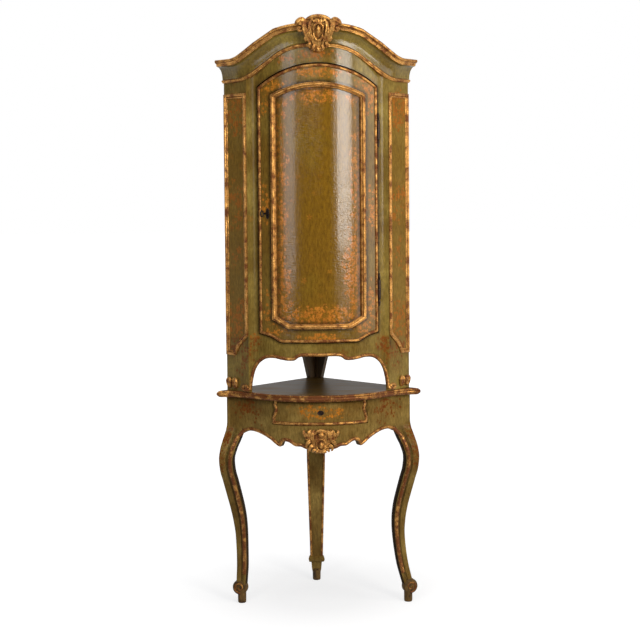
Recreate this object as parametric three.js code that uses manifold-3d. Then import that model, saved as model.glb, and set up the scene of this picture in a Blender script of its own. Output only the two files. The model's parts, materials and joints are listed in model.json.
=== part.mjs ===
// A bow-front corner cupboard on a three-legged corner stand, painted and parcel-gilt.
// Millimetres, +Z up. The front faces -Y and the walls of the room meet behind the back leg.
import * as THREE from 'three';
import { mergeVertices } from 'three/addons/utils/BufferGeometryUtils.js';
import Module from 'manifold-3d';

const wasm = await Module();
wasm.setup();

// Clearances
const gap = 0.3; // between two pieces that rest on each other
const slack = 0.5; // between two pieces that slide or turn
const bent_gap = 0.5; // under a moulding that is bent round the bow
const overrun = 40; // how far a cut runs past what it cuts

// Cabinet
const cabinet_half = 338; // half width, and how far its wall edges lie ahead of the corner
const pilaster_width = 115;
const cove_width = 39.2; // the hollow between pilaster and door, across the front
const cove_drop = 6.3;
const door_rise = 68.4; // how far the bow of the door stands out over its width
const front_thickness = 24;
const back_thickness = 16;
const board_thickness = 18;
const groove_depth = 6;
const floor_height = 182; // top of the cabinet's floor above the stand
const shelf_count = 2;

// Door
const door_thickness = 22;
const door_gap = 2.5;
const arch_gap = 4;
const door_foot = 186; // bottom of the door above the stand
const door_height = 996.5;
const door_arch_rise = 78.5; // from the top of its straight sides to the middle of its arch
const door_side_height = door_height - door_arch_rise;
const door_step = 31;
const door_step_shares = [0.6, 0.8]; // where the bottom edge steps up, of the half width
const inside_over_door = 5.5; // the cabinet is this much higher inside than the door
const cabinet_inside = door_foot + door_height + inside_over_door - floor_height;
const panel_inset = 44;
const panel_thickness = 9;
const panel_recess = 8;
const panel_hold = 6; // how deep the panel sits in its groove
const foot_bevel = 22; // degrees that the foot's edge is bevelled, so that it clears the frame as it opens

// Stand
const stand_height = 808;
const top_thickness = 24;
const top_margin = 38; // how far the top runs out past the cabinet along the walls
const top_ledge = 41; // and before the middle of the door
const top_bow_radius = 340;
const top_bow_swing = 42; // degrees of the bow on each side
const top_edge_width = 12;
const top_overhang = 35;
const apron_thickness = 22;
const rail_height = 118;
const rail_thickness = 20;

// Cornice
const frieze_height = 71.5; // from the door's arch to the top of the neck bead
const neck_height = door_foot + door_height + frieze_height; // above the stand
const arch_drop = 115;
const arch_half = 290;
const arch_sharpness = 1.53;
const crown_height = 69;
const cornice_reach = 45;
const corner_ease = 45;

// Places that follow from these: the pilaster's inner edge, the door and the stand's top
const pilaster_edge = [
  cabinet_half - pilaster_width / Math.SQRT2,
  cabinet_half + pilaster_width / Math.SQRT2,
];
const opening_half = pilaster_edge[0] - cove_width;
const door_half = opening_half - door_gap;
const door_radius = (opening_half ** 2 + door_rise ** 2) / (2 * door_rise);
const cabinet_bow = pilaster_edge[1] + cove_drop + door_rise; // corner to the middle of the door
const top_tip = cabinet_half + top_margin; // half width, and how far its tips lie ahead of the corner
const top_bow = cabinet_bow + top_ledge;

const radians = THREE.MathUtils.degToRad;
const bottom = stand_height;
const full_turn = 2 * Math.PI;

// Paints and metals
const finishes = {
  green: { color: 0x77703a, roughness: 0.42, metalness: 0 },
  panel: { color: 0x7a6428, roughness: 0.35, metalness: 0 },
  gilt: { color: 0xb98040, roughness: 0.4, metalness: 0.6 },
  dark: { color: 0x3a2c1c, roughness: 0.35, metalness: 0 },
  wood: { color: 0x6e4f30, roughness: 0.7, metalness: 0 },
  iron: { color: 0x2c282a, roughness: 0.55, metalness: 0.8 },
};

const cupboard = new THREE.Group();

// Closed geometry to solid and back
const weld = 1e-4; // points nearer than this are one
function solid_of(geometry) {
  const plain = geometry.clone();
  plain.deleteAttribute('normal');
  plain.deleteAttribute('uv');
  const merged = mergeVertices(plain, weld);
  const vertProperties = new Float32Array(merged.attributes.position.array);
  const triVerts = new Uint32Array(merged.index.array);
  return new wasm.Manifold(new wasm.Mesh({ numProp: 3, vertProperties, triVerts }));
}

function geometry_of(solid) {
  const mesh = solid.getMesh();
  const geometry = new THREE.BufferGeometry();
  geometry.setAttribute('position', new THREE.BufferAttribute(mesh.vertProperties, 3));
  geometry.setIndex(new THREE.BufferAttribute(mesh.triVerts, 1));
  return geometry;
}

// The same piece on the other side, with its faces turned out again
function mirrored(solid) {
  const geometry = geometry_of(solid).scale(-1, 1, 1);
  const corners = geometry.index.array;
  for (let i = 0; i < corners.length; i += 3) {
    [corners[i], corners[i + 1]] = [corners[i + 1], corners[i]];
  }
  return solid_of(geometry);
}

function joined(pieces) {
  return pieces.reduce((whole, piece) => whole.add(piece));
}

function add(name, solid, finish) {
  const geometry = geometry_of(solid);
  geometry.computeVertexNormals();
  const mesh = new THREE.Mesh(geometry, new THREE.MeshStandardMaterial(finishes[finish]));
  mesh.name = name;
  cupboard.add(mesh);
}

function add_pair(name, right, finish) {
  add(`${name}_right`, right, finish);
  add(`${name}_left`, mirrored(right), finish);
}

// A plan outline of [x, ahead] points, where ahead is measured out of the corner, raised from low to high
function prism(plan, low, high) {
  const shape = new THREE.Shape(plan.map(([x, ahead]) => new THREE.Vector2(x, -ahead)));
  const geometry = new THREE.ExtrudeGeometry(shape, { depth: high - low, bevelEnabled: false });
  return solid_of(geometry.translate(0, 0, low));
}

// A front outline of [x, z] points, run from one distance ahead of the corner to another
function front_cut(outline, near, far) {
  const shape = new THREE.Shape(outline.map(([x, z]) => new THREE.Vector2(x, z)));
  const geometry = new THREE.ExtrudeGeometry(shape, { depth: far - near, bevelEnabled: false });
  return solid_of(geometry.rotateX(Math.PI / 2).translate(0, -near, 0));
}

function upright(radius, x, ahead, low, high, sides) {
  const geometry = new THREE.CylinderGeometry(radius, radius, high - low, sides);
  return solid_of(geometry.rotateX(Math.PI / 2).translate(x, -ahead, (low + high) / 2));
}

// Rings of points, all of one length, skinned into one closed body; closed rings run round a loop
function loft(rings, is_loop = false) {
  const size = rings[0].length;
  const positions = rings.flat(2);
  const index = [];
  const spans = is_loop ? rings.length : rings.length - 1;
  for (let ring = 0; ring < spans; ring++) {
    const next = (ring + 1) % rings.length;
    for (let point = 0; point < size; point++) {
      const after = (point + 1) % size;
      const [a, b] = [ring * size + point, ring * size + after];
      const [c, d] = [next * size + point, next * size + after];
      index.push(a, b, d, a, d, c);
    }
  }
  if (!is_loop) {
    const flat = rings[0].map((_, i) => i);
    cap(rings[0]).forEach(([a, b, c]) => index.push(flat[a], flat[c], flat[b]));
    const last = (rings.length - 1) * size;
    cap(rings[rings.length - 1]).forEach(([a, b, c]) => index.push(last + a, last + b, last + c));
  }
  const geometry = new THREE.BufferGeometry();
  geometry.setAttribute('position', new THREE.Float32BufferAttribute(positions, 3));
  geometry.setIndex(index);
  return facing_out(geometry);
}

// Triangles of a flat ring, found in the plane that it lies in
function cap(ring) {
  const points = ring.map((p) => new THREE.Vector3(...p));
  const normal = new THREE.Vector3();
  points.forEach((p, i) => normal.add(new THREE.Vector3().crossVectors(p, points[(i + 1) % points.length])));
  const turn = new THREE.Quaternion().setFromUnitVectors(normal.normalize(), new THREE.Vector3(0, 0, 1));
  const flat = points.map((p) => p.applyQuaternion(turn)).map((p) => new THREE.Vector2(p.x, p.y));
  return THREE.ShapeUtils.triangulateShape(flat, []);
}

function facing_out(geometry) {
  const p = geometry.attributes.position;
  const corners = geometry.index.array;
  const [a, b, c] = [new THREE.Vector3(), new THREE.Vector3(), new THREE.Vector3()];
  let volume = 0;
  for (let i = 0; i < corners.length; i += 3) {
    a.fromBufferAttribute(p, corners[i]);
    b.fromBufferAttribute(p, corners[i + 1]);
    c.fromBufferAttribute(p, corners[i + 2]);
    volume += a.dot(b.cross(c));
  }
  if (volume < 0) {
    for (let i = 0; i < corners.length; i += 3) {
      [corners[i], corners[i + 1]] = [corners[i + 1], corners[i]];
    }
  }
  return solid_of(geometry);
}

// Plan lines: points [x, ahead] from the left wall to the right wall
function mirrored_line(half) {
  const left = half.slice(1).reverse().map(([x, ahead]) => [-x, ahead]);
  return [...left, ...half];
}

// A line set off to its front by a distance, with its corners mitred
function offset_line(line, distance, is_loop = false) {
  return line.map((point, i) => {
    const before = line[i - 1] ?? (is_loop ? line[line.length - 1] : null);
    const after = line[i + 1] ?? (is_loop ? line[0] : null);
    const sides = [before && [before, point], after && [point, after]].filter(Boolean);
    const normals = sides.map(([from, to]) => {
      const run = Math.hypot(to[0] - from[0], to[1] - from[1]);
      return [-(to[1] - from[1]) / run, (to[0] - from[0]) / run];
    });
    const [n, m] = [normals[0], normals[normals.length - 1]];
    const reach = distance / (1 + n[0] * m[0] + n[1] * m[1]);
    return [point[0] + (n[0] + m[0]) * reach, point[1] + (n[1] + m[1]) * reach];
  });
}

// A plan line as a sheet that outlines are drawn on and then bent round the front
class Sheet {
  constructor(line) {
    this.line = line;
    this.lengths = [0];
    for (let i = 1; i < line.length; i++) {
      const run = Math.hypot(line[i][0] - line[i - 1][0], line[i][1] - line[i - 1][1]);
      this.lengths.push(this.lengths[i - 1] + run);
    }
    this.middle = this.lengths[this.lengths.length - 1] / 2;
  }

  // Distance along the sheet from its middle, for a place across the front
  along(x) {
    const i = Math.min(Math.max(this.line.findIndex((p) => p[0] >= x), 1), this.line.length - 1);
    const share = (x - this.line[i - 1][0]) / (this.line[i][0] - this.line[i - 1][0]);
    return this.lengths[i - 1] + share * (this.lengths[i] - this.lengths[i - 1]) - this.middle;
  }

  // The place on the bent sheet: x, ahead and the direction that faces out
  at(along) {
    const s = along + this.middle;
    const found = this.lengths.findIndex((length) => length >= s);
    const i = found < 0 ? this.lengths.length - 1 : Math.max(found, 1);
    const share = (s - this.lengths[i - 1]) / (this.lengths[i] - this.lengths[i - 1]);
    const [from, to] = [this.line[i - 1], this.line[i]];
    const run = this.lengths[i] - this.lengths[i - 1];
    const [dx, da] = [(to[0] - from[0]) / run, (to[1] - from[1]) / run];
    const [x, ahead] = [from[0] + share * (to[0] - from[0]), from[1] + share * (to[1] - from[1])];
    return { x, ahead, out: [-da, dx], run: [dx, da] };
  }

  point(along, z, proud) {
    const { x, ahead, out } = this.at(along);
    return [x + out[0] * proud, -(ahead + out[1] * proud), z];
  }
}

// A band of wood that follows a plan line between two depths
function band(line, outer, inner, low, high, back_line = line) {
  return prism([...offset_line(line, outer), ...offset_line(back_line, inner).reverse()], low, high);
}

// The room's corner, with its walls moved in by a distance
function corner_region(inset, low, high) {
  const reach = 2 * top_bow;
  const tip = inset * Math.SQRT2;
  return prism([[0, tip], [reach, tip + reach], [-reach, tip + reach]], low, high);
}

// A moulding whose profile of [across, proud] points follows an outline drawn on a sheet
function moulding(sheet, outline, profile, is_loop) {
  const lines = profile.map(([across]) => offset_line(outline, across, is_loop));
  const rings = outline.map((_, i) => profile.map(([, proud], j) => {
    const [along, z] = lines[j][i];
    return sheet.point(along, z, proud);
  }));
  return loft(rings, is_loop);
}

// An outline of [x, z] points is broken where its sheet bends, so that a moulding bends with it
function bent(outline, sheet, is_loop = false) {
  const result = [];
  outline.forEach((point, i) => {
    result.push(point);
    const next = outline[i + 1] ?? (is_loop ? outline[0] : null);
    if (!next) return;
    const [low, high] = [Math.min(point[0], next[0]) + slack, Math.max(point[0], next[0]) - slack];
    const bends = sheet.line.map(([x]) => x).filter((x) => x > low && x < high);
    if (next[0] < point[0]) bends.reverse();
    bends.forEach((x) => {
      const share = (x - point[0]) / (next[0] - point[0]);
      result.push([x, point[1] + share * (next[1] - point[1])]);
    });
  });
  return result;
}

function arc_line(centre, radius, from, to, count) {
  return Array.from({ length: count + 1 }, (_, i) => {
    const angle = from + (to - from) * (i / count);
    return [centre[0] + radius * Math.sin(angle), centre[1] + radius * Math.cos(angle)];
  });
}

// A smooth line through places given as shares of a width and a height
function drawn(shares, width, height, count) {
  const places = shares.map(([x, y]) => new THREE.Vector3(x * width, y * height, 0));
  const curve = new THREE.CatmullRomCurve3(places, false, 'centripetal');
  return curve.getSpacedPoints(count).map((p) => [p.x, p.y]);
}

// Plan of the stand's top: a bow that swings back into two pointed ears on the walls
const bow_steps = 8;
const ear_steps = 5;
const ear_pull_share = 0.13; // how far the bow's line runs on before the ear turns it
const ear_tip_shares = [0.18, 0.03]; // how flat the ear meets its tip, across and back
function top_line() {
  const swing = radians(top_bow_swing);
  const bow = arc_line([0, top_bow - top_bow_radius], top_bow_radius, 0, swing, bow_steps);
  const end = bow[bow.length - 1];
  const pull = ear_pull_share * top_bow_radius;
  const ear = new THREE.CubicBezierCurve(
    new THREE.Vector2(...end),
    new THREE.Vector2(end[0] + pull * Math.cos(swing), end[1] - pull * Math.sin(swing)),
    new THREE.Vector2(top_tip * (1 - ear_tip_shares[0]), top_tip * (1 - ear_tip_shares[1])),
    new THREE.Vector2(top_tip, top_tip),
  );
  const points = ear.getPoints(ear_steps).slice(1).map((p) => [p.x, p.y]);
  return mirrored_line([...bow, ...points]);
}
const top_plan = top_line();
const apron_plan = offset_line(top_plan, -top_overhang);

// Plan of the cabinet's front: bowed door, hollow, canted pilaster
const door_steps = 9;
const cove_steps = 5;
const door_centre = cabinet_bow - door_radius;
const door_swing = Math.asin(opening_half / door_radius);
const door_line = arc_line([0, door_centre], door_radius, 0, door_swing, door_steps);
function cabinet_line() {
  const end = door_line[door_line.length - 1];
  const chord = [pilaster_edge[0] - end[0], pilaster_edge[1] - end[1]];
  const length = Math.hypot(...chord);
  const bend = door_swing + Math.atan2(chord[1], chord[0]);
  const radius = length / (2 * Math.sin(bend));
  const centre = [end[0] + radius * Math.sin(door_swing), end[1] + radius * Math.cos(door_swing)];
  const start = Math.PI + door_swing;
  const cove = arc_line(centre, radius, start, start - 2 * bend, cove_steps).slice(1);
  return mirrored_line([...door_line, ...cove, [cabinet_half, cabinet_half]]);
}
const cabinet_plan = cabinet_line();
// The backs of the front's boards run straight behind the hollow
const cabinet_back_plan = mirrored_line([...door_line, pilaster_edge, [cabinet_half, cabinet_half]]);
const cabinet_sheet = new Sheet(cabinet_plan);
const door_plan = mirrored_line(door_line);

// Plan of the cornice: the same bow, eased past the hollow and round the pilaster's corner
const ease_steps = 3;
const cornice_bow_steps = 7;
const pilaster_steps = 2;
function cornice_line() {
  const from_centre = [pilaster_edge[0], pilaster_edge[1] - door_centre];
  const distance = Math.hypot(...from_centre);
  const touch = Math.atan2(from_centre[0], from_centre[1]) - Math.acos(door_radius / distance);
  const bow = arc_line([0, door_centre], door_radius, 0, touch, cornice_bow_steps);
  const end = bow[bow.length - 1];
  const toward = new THREE.Vector2(end[0] - pilaster_edge[0], end[1] - pilaster_edge[1])
    .setLength(corner_ease);
  const side = corner_ease / Math.SQRT2;
  const ease = new THREE.QuadraticBezierCurve(
    new THREE.Vector2(pilaster_edge[0] + toward.x, pilaster_edge[1] + toward.y),
    new THREE.Vector2(...pilaster_edge),
    new THREE.Vector2(pilaster_edge[0] + side, pilaster_edge[1] - side),
  );
  const eased = ease.getPoints(ease_steps).map((p) => [p.x, p.y]);
  const last = eased[eased.length - 1];
  const rest = Array.from({ length: pilaster_steps }, (_, i) => {
    const share = (i + 1) / pilaster_steps;
    return [last[0] + share * (cabinet_half - last[0]), last[1] + share * (cabinet_half - last[1])];
  });
  return mirrored_line([...bow, ...eased, ...rest]);
}

// Height of the neck bead across the front, and how much the slope of the arch stretches what follows it
function neck_line(x) {
  const share = Math.min(Math.abs(x) / arch_half, 1) ** arch_sharpness;
  return bottom + neck_height - arch_drop * Math.sin(Math.PI / 2 * share) ** 2;
}

function arch_stretch(x) {
  const slope = (neck_line(x + gap) - neck_line(x - gap)) / (2 * gap);
  return Math.hypot(1, slope);
}

function crown_line(x) {
  return neck_line(x) + crown_height * arch_stretch(x);
}

// Outlines of the front, all [x, z]
const apron_foot_width = 92; // of the cabinet's feet, across the front
const apron_half = cabinet_half - apron_foot_width;
const apron_rise = 136;
const apron_shares = [
  [0, 1], [0.3, 0.985], [0.37, 0.9], [0.45, 0.885], [0.57, 0.91], [0.67, 0.945],
  [0.79, 0.92], [0.88, 0.8], [0.94, 0.62], [0.98, 0.35], [1, 0.06], [1, 0],
];
const apron_steps = 16;
const apron_line = drawn(apron_shares, apron_half, apron_rise, apron_steps).map(([x, z]) => [x, bottom + z]);

const door_step_steps = 4;
// Half of an arch over the door, with its points where the bow bends
function arch_points(half, radius, centre) {
  const places = door_line.map(([x]) => x).filter((x) => x < half - door_gap);
  return [...places, half].map((x) => [x, centre + Math.sqrt(radius ** 2 - x ** 2)]);
}

function door_outline(side_gap, top_gap) {
  const rise = door_height - door_side_height;
  const radius = (door_half ** 2 + rise ** 2) / (2 * rise);
  const centre = bottom + door_foot + door_height - radius;
  const half = door_half + side_gap;
  const reach = radius + top_gap;
  const arch = arch_points(half, reach, centre);
  const foot = bottom + door_foot - side_gap;
  const [start, end] = door_step_shares.map((share) => share * door_half);
  const step = new THREE.CubicBezierCurve(
    new THREE.Vector2(end, foot + door_step),
    new THREE.Vector2((start + end) / 2, foot + door_step),
    new THREE.Vector2((start + end) / 2, foot),
    new THREE.Vector2(start, foot),
  );
  const stepped_foot = step.getPoints(door_step_steps).map((p) => [p.x, p.y]);
  const right = [...arch, [half, foot + door_step], ...stepped_foot];
  const left = right.slice(1).reverse().map(([x, z]) => [-x, z]);
  return [...right, ...left];
}

// The panel moulding's outer edge: arched above, corners cut below
const panel_top_gap = 63;
const panel_arch_rise = 43;
const panel_foot_gap = 48;
const panel_corner = 34;
const panel_corner_share = 0.34;
function panel_outline() {
  const half = door_half - panel_inset;
  const radius = (half ** 2 + panel_arch_rise ** 2) / (2 * panel_arch_rise);
  const top = bottom + door_foot + door_height - panel_top_gap;
  const foot = bottom + door_foot + panel_foot_gap;
  const arch = arch_points(half, radius, top - radius);
  const right = [...arch, [half, foot + panel_corner], [half * (1 - panel_corner_share), foot]];
  const left = right.slice(1).reverse().map(([x, z]) => [-x, z]);
  return [...right, ...left];
}

function on_sheet(sheet, outline) {
  return outline.map(([x, z]) => [sheet.along(x), z]);
}

// Cabinet
const front_far = Math.max(cabinet_bow, top_bow) + 2 * overrun;
const front_near = cabinet_half - overrun;
const carcass_top = bottom + neck_height + arch_drop;
const door_middle = bottom + door_foot + door_height / 2;
const apron_void = front_cut(
  [...apron_line.slice(1).reverse().map(([x, z]) => [-x, z]), ...apron_line,
    [apron_half, bottom - overrun], [-apron_half, bottom - overrun]],
  front_near - overrun, front_far,
);
const crown_steps = 12;
function under_crown() {
  const reach = cabinet_half + overrun;
  const edge = Array.from({ length: 2 * crown_steps + 1 }, (_, i) => {
    const x = reach * (i / crown_steps - 1);
    return [x, crown_line(x)];
  });
  return front_cut([[-reach, bottom - overrun], ...edge, [reach, bottom - overrun]].reverse(), 0, front_far);
}

function cabinet_front() {
  const board = band(cabinet_plan, 0, -front_thickness, bottom + gap, carcass_top, cabinet_back_plan);
  const opening = front_cut(door_outline(door_gap, arch_gap), front_near - overrun, front_far);
  return board.intersect(under_crown()).subtract(opening).subtract(apron_void);
}

function between(low_x, high_x, low, high) {
  return front_cut([[low_x, low], [high_x, low], [high_x, high], [low_x, high]], 0, front_far);
}

function build_front() {
  const front = cabinet_front();
  const [low, high] = [bottom - overrun, carcass_top + overrun];
  const wide = cabinet_half + overrun;
  add_pair('front_stile', front.intersect(between(opening_half, wide, low, high)), 'green');
  const rail_half = opening_half - gap;
  add('top_rail', front.intersect(between(-rail_half, rail_half, door_middle, high)), 'green');
  add('bottom_rail', front.intersect(between(-rail_half, rail_half, low, door_middle)), 'green');
}

// A board that fills the plan behind the front and in front of the walls
const floor_low = bottom + floor_height - board_thickness;
function inner_board(low, thickness, front_inset, wall_inset, grow = 0) {
  const edge = offset_line(cabinet_back_plan, grow - front_inset);
  const plan = prism([...edge, [0, 0]].reverse(), low - grow, low + thickness + grow);
  return plan.intersect(corner_region(wall_inset - grow, low - overrun, low + thickness + overrun));
}

const shelf_inset = 44;
const top_low = bottom + floor_height + cabinet_inside;
const top_board_thickness = 12;
function shelf_low(i) {
  return bottom + floor_height + (i + 1) * cabinet_inside / (shelf_count + 1) - board_thickness / 2;
}

const level_boards = [
  { name: 'cabinet_floor', low: floor_low, thickness: board_thickness, inset: front_thickness + gap },
  { name: 'shelf_lower', low: shelf_low(0), thickness: board_thickness, inset: shelf_inset },
  { name: 'shelf_upper', low: shelf_low(1), thickness: board_thickness, inset: shelf_inset },
  { name: 'cabinet_top', low: top_low, thickness: top_board_thickness, inset: front_thickness + gap },
];

// Back boards: drawn on the wall as [along, z], with half of the back foot at the corner
const back_foot_width = 47;
const back_foot_root = 70;
const back_foot_height = 78;
const back_edge_height = 150; // lower edge of the board above the stand
const back_notch = 8;
const back_curve_share = 0.5;
function on_wall(outline, thickness) {
  const shape = new THREE.Shape(outline.map(([along, z]) => new THREE.Vector2(along, z)));
  const geometry = new THREE.ExtrudeGeometry(shape, { depth: thickness, bevelEnabled: false });
  const half_turn = Math.SQRT1_2;
  const to_wall = new THREE.Matrix4().set(
    half_turn, 0, -half_turn, 0,
    -half_turn, 0, -half_turn, 0,
    0, 1, 0, 0,
    0, 0, 0, 1,
  );
  return facing_out(mergeVertices(bare(geometry.applyMatrix4(to_wall)), weld));
}

function bare(geometry) {
  geometry.deleteAttribute('normal');
  geometry.deleteAttribute('uv');
  return geometry;
}

function back_board(start) {
  const end = cabinet_half * Math.SQRT2 - front_thickness - gap;
  const high = top_low + top_board_thickness;
  const outline = [
    [start, bottom + gap + back_notch],
    [back_notch + start / 2, bottom + gap],
    [back_foot_width, bottom + gap],
    [back_foot_root, bottom + back_foot_height],
    [back_foot_root + back_curve_share * back_foot_root, bottom + back_edge_height],
    [end, bottom + back_edge_height],
    [end, high],
    [start, high],
  ];
  let board = on_wall(outline, back_thickness);
  level_boards.forEach(({ low, thickness, inset }) => {
    board = board.subtract(inner_board(low, thickness, inset, back_thickness - groove_depth, gap));
  });
  return board;
}

function build_carcass() {
  add('back_board_right', back_board(0), 'wood');
  add('back_board_left', mirrored(back_board(back_thickness + gap)), 'wood');
  level_boards.forEach(({ name, low, thickness, inset }) => {
    add(name, inner_board(low, thickness, inset, back_thickness - groove_depth), 'wood');
  });
}

// Cornice: three mouldings in vertical sections, profiles as [proud, up] from the neck bead's top
const cornice_root = -12;
const bead_height = 13;
const bead_reach = 11;
const cove_height = 45;
const cove_reach = 32;
const bead_face_shares = [[0.55, 0], [1, 0.3], [1, 0.7], [0.55, 1]];
const cove_face_shares = [[0.19, 0], [0.25, 0.28], [0.44, 0.57], [0.72, 0.82], [1, 1]];
const crown_face_shares = [[0.76, 0], [0.87, 0.28], [1, 0.49], [1, 0.83], [0.91, 1]];
const bead_profile = rooted(bead_face_shares, bead_reach, -bead_height, 0);
const cove_profile = rooted(cove_face_shares, cove_reach, gap, cove_height);
const crown_profile = rooted(crown_face_shares, cornice_reach, cove_height + gap, crown_height);
function rooted(face_shares, reach, low, high) {
  const face = face_shares.map(([proud, up]) => [proud * reach, low + up * (high - low)]);
  return [[cornice_root, low], ...face, [cornice_root, high]];
}

function cornice_piece(profile) {
  const line = cornice_line();
  const lines = profile.map(([proud]) => offset_line(line, proud));
  const rings = line.map(([x], i) => profile.map(([, up], j) => {
    const [px, ahead] = lines[j][i];
    return [px, -ahead, neck_line(x) + up * arch_stretch(x)];
  }));
  const behind = prism([...offset_line(cabinet_plan, gap), [0, 0]].reverse(), bottom, carcass_top + overrun);
  return loft(rings).subtract(behind).intersect(corner_region(0, bottom, carcass_top + overrun));
}

function build_cornice() {
  add('neck_bead', cornice_piece(bead_profile), 'gilt');
  // Turned round, so that its facets lie along those of the mouldings above and below
  add('cornice_cove', cornice_piece([...cove_profile].reverse()), 'green');
  add('crown_moulding', cornice_piece(crown_profile), 'gilt');
}

// Pilaster frames: a moulding round the canted face, drawn from the wall edge inwards
const frame_low = 132;
const frame_below_neck = 169; // its top, below the neck bead in the middle
const frame_high = neck_height - frame_below_neck;
const frame_inset = 1;
const frame_width = 17;
const frame_foot_shares = [[1, 0.078], [0.82, 0.058], [0.64, 0.04], [0.52, 0.02], [0.44, 0]];
const frame_profile_shares = [[0, 0], [0, 0.7], [0.16, 1], [0.4, 1], [0.55, 0.65], [0.8, 0.6], [1, 0]];
const frame_proud = 7;
function profile_of(shares, width, proud) {
  return shares.map(([across, out]) => [-across * width, bent_gap + out * proud]);
}

function pilaster_sheet() {
  return new Sheet([pilaster_edge, [cabinet_half, cabinet_half]]);
}

function pilaster_frame() {
  const width = pilaster_width - 2 * frame_inset;
  const height = frame_high - frame_low;
  const foot = frame_foot_shares.map(([across, up]) => [across * width, up * height]);
  const loop = [[0, 0], [0, height], [width, height], ...foot];
  const outline = loop.map(([from_wall, up]) => [
    pilaster_width / 2 - frame_inset - from_wall,
    bottom + frame_low + up,
  ]);
  const profile = profile_of(frame_profile_shares, frame_width, frame_proud);
  return moulding(pilaster_sheet(), outline.reverse(), profile, true);
}

// Gilt bead along the bottom of the apron and down the feet
const bead_width = 8;
const bead_proud = 5;
const bead_shares = [[0, 0], [0, 0.5], [0.3, 1], [0.7, 1], [1, 0.5], [1, 0]];
const foot_bead_low = 34;
function apron_bead() {
  const kept = apron_line.filter(([, z]) => z > bottom + foot_bead_low);
  const half = on_sheet(cabinet_sheet, bent(kept, cabinet_sheet));
  const left = half.slice(1).reverse().map(([along, z]) => [-along, z]);
  const profile = bead_shares.map(([across, out]) => [across * bead_width, bent_gap + out * bead_proud]);
  return moulding(cabinet_sheet, [...left, ...half], profile, false);
}

// Carved lobes: a tapering round or flattened body along a smooth line of [x, proud, z] places
const lobe_sides = 5;
const lobe_steps = 5;
const tip_share = 0.35;
const leaf_flat_share = 0.8; // how deep a leaf is for its width
function lobe(places, radii, flatness, steps) {
  const curve = new THREE.CatmullRomCurve3(places.map(([x, proud, z]) => new THREE.Vector3(x, -proud, z)));
  const front = new THREE.Vector3(0, -1, 0);
  const rings = [];
  for (let i = 0; i <= steps; i++) {
    const share = i / steps;
    const centre = curve.getPointAt(share);
    const along = curve.getTangentAt(share);
    const side = new THREE.Vector3().crossVectors(along, front).normalize();
    const out = new THREE.Vector3().crossVectors(side, along);
    const place = share * (radii.length - 1);
    const low = Math.min(Math.floor(place), radii.length - 2);
    const radius = THREE.MathUtils.lerp(radii[low], radii[low + 1], place - low);
    rings.push(Array.from({ length: lobe_sides }, (_, k) => {
      const angle = full_turn * k / lobe_sides;
      return centre.clone()
        .addScaledVector(side, radius * Math.cos(angle))
        .addScaledVector(out, radius * flatness * Math.sin(angle))
        .toArray();
    }));
  }
  return loft(rings);
}

// A scroll in the plane of the front: hand is +1 or -1, turns inwards from its outer end
const scroll_steps = 9;
function scroll(x, proud, z, radius, hand, turns, start, thickness) {
  const places = Array.from({ length: scroll_steps }, (_, i) => {
    const share = i / (scroll_steps - 1);
    const angle = start + share * turns * full_turn;
    const reach = radius * (1 - (1 - tip_share / 2) * share);
    return [x + hand * reach * Math.cos(angle), proud + share * thickness, z + reach * Math.sin(angle)];
  });
  const radii = [1, 1 - tip_share / 2, 2 * tip_share].map((share) => share * thickness);
  return lobe(places, radii, 1, scroll_steps);
}

const ball_sides = 10;
const ball_rings = 6;
function ball(x, proud, z, across, deep, tall) {
  const geometry = new THREE.SphereGeometry(1, ball_sides, ball_rings).scale(across, deep, tall);
  return facing_out(mergeVertices(bare(geometry.translate(x, -proud, z)), weld));
}

// Crest: shares of half its width and its height, from its foot
const crest_hang = 33; // how far its tip hangs below the neck bead
const crest_low = bottom + neck_height - crest_hang;
const crest_height = 131;
const crest_half = 80;
const crest_depth = 13;
const crest_front = cabinet_bow + cornice_reach;
const crest_leaf_shares = [
  { from: [0.1, 0.5], by: [0.24, 0.3], to: [0.16, 0.05], wide: 0.13 },
  { from: [0.2, 0.62], by: [0.42, 0.42], to: [0.34, 0.2], wide: 0.13 },
  { from: [0.3, 0.72], by: [0.55, 0.62], to: [0.52, 0.38], wide: 0.12 },
  { from: [0.2, 0.8], by: [0.5, 0.86], to: [0.78, 0.7], wide: 0.12 },
];
const crest_body_shares = [
  [0, 0], [0.22, 0.1], [0.5, 0.3], [0.62, 0.55], [0.72, 0.66], [0.5, 0.9], [0.2, 0.97],
];
const crest_scroll_shares = { aside: 0.78, up: 0.78, radius: 0.12, thick: 0.05 };
const crest_scroll_turns = 1.1;
const crest_scroll_start = 0.5; // radians
const crest_lip_shares = [[-0.22, 0.9, 0], [0, 0.97, 0.33], [0.22, 0.9, 0]];
const crest_lip_thick_shares = [0.05, 0.1, 0.05];
const crest_boss_shares = { up: 0.62, wide: 0.1, tall: 0.17 };
const leaf_proud_shares = [0.2, 0.75, 0.3];
const leaf_root_share = 0.55;
function crest_leaves(hand) {
  return crest_leaf_shares.map(({ from, by, to, wide }) => {
    const places = [from, by, to].map(([x, z], i) => [
      hand * x * crest_half,
      crest_front + (leaf_proud_shares[i] - 0.5) * crest_depth,
      crest_low + z * crest_height,
    ]);
    const radii = [leaf_root_share, 1, tip_share].map((share) => share * wide * crest_half);
    return lobe(places, radii, leaf_flat_share, lobe_steps);
  });
}

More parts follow.
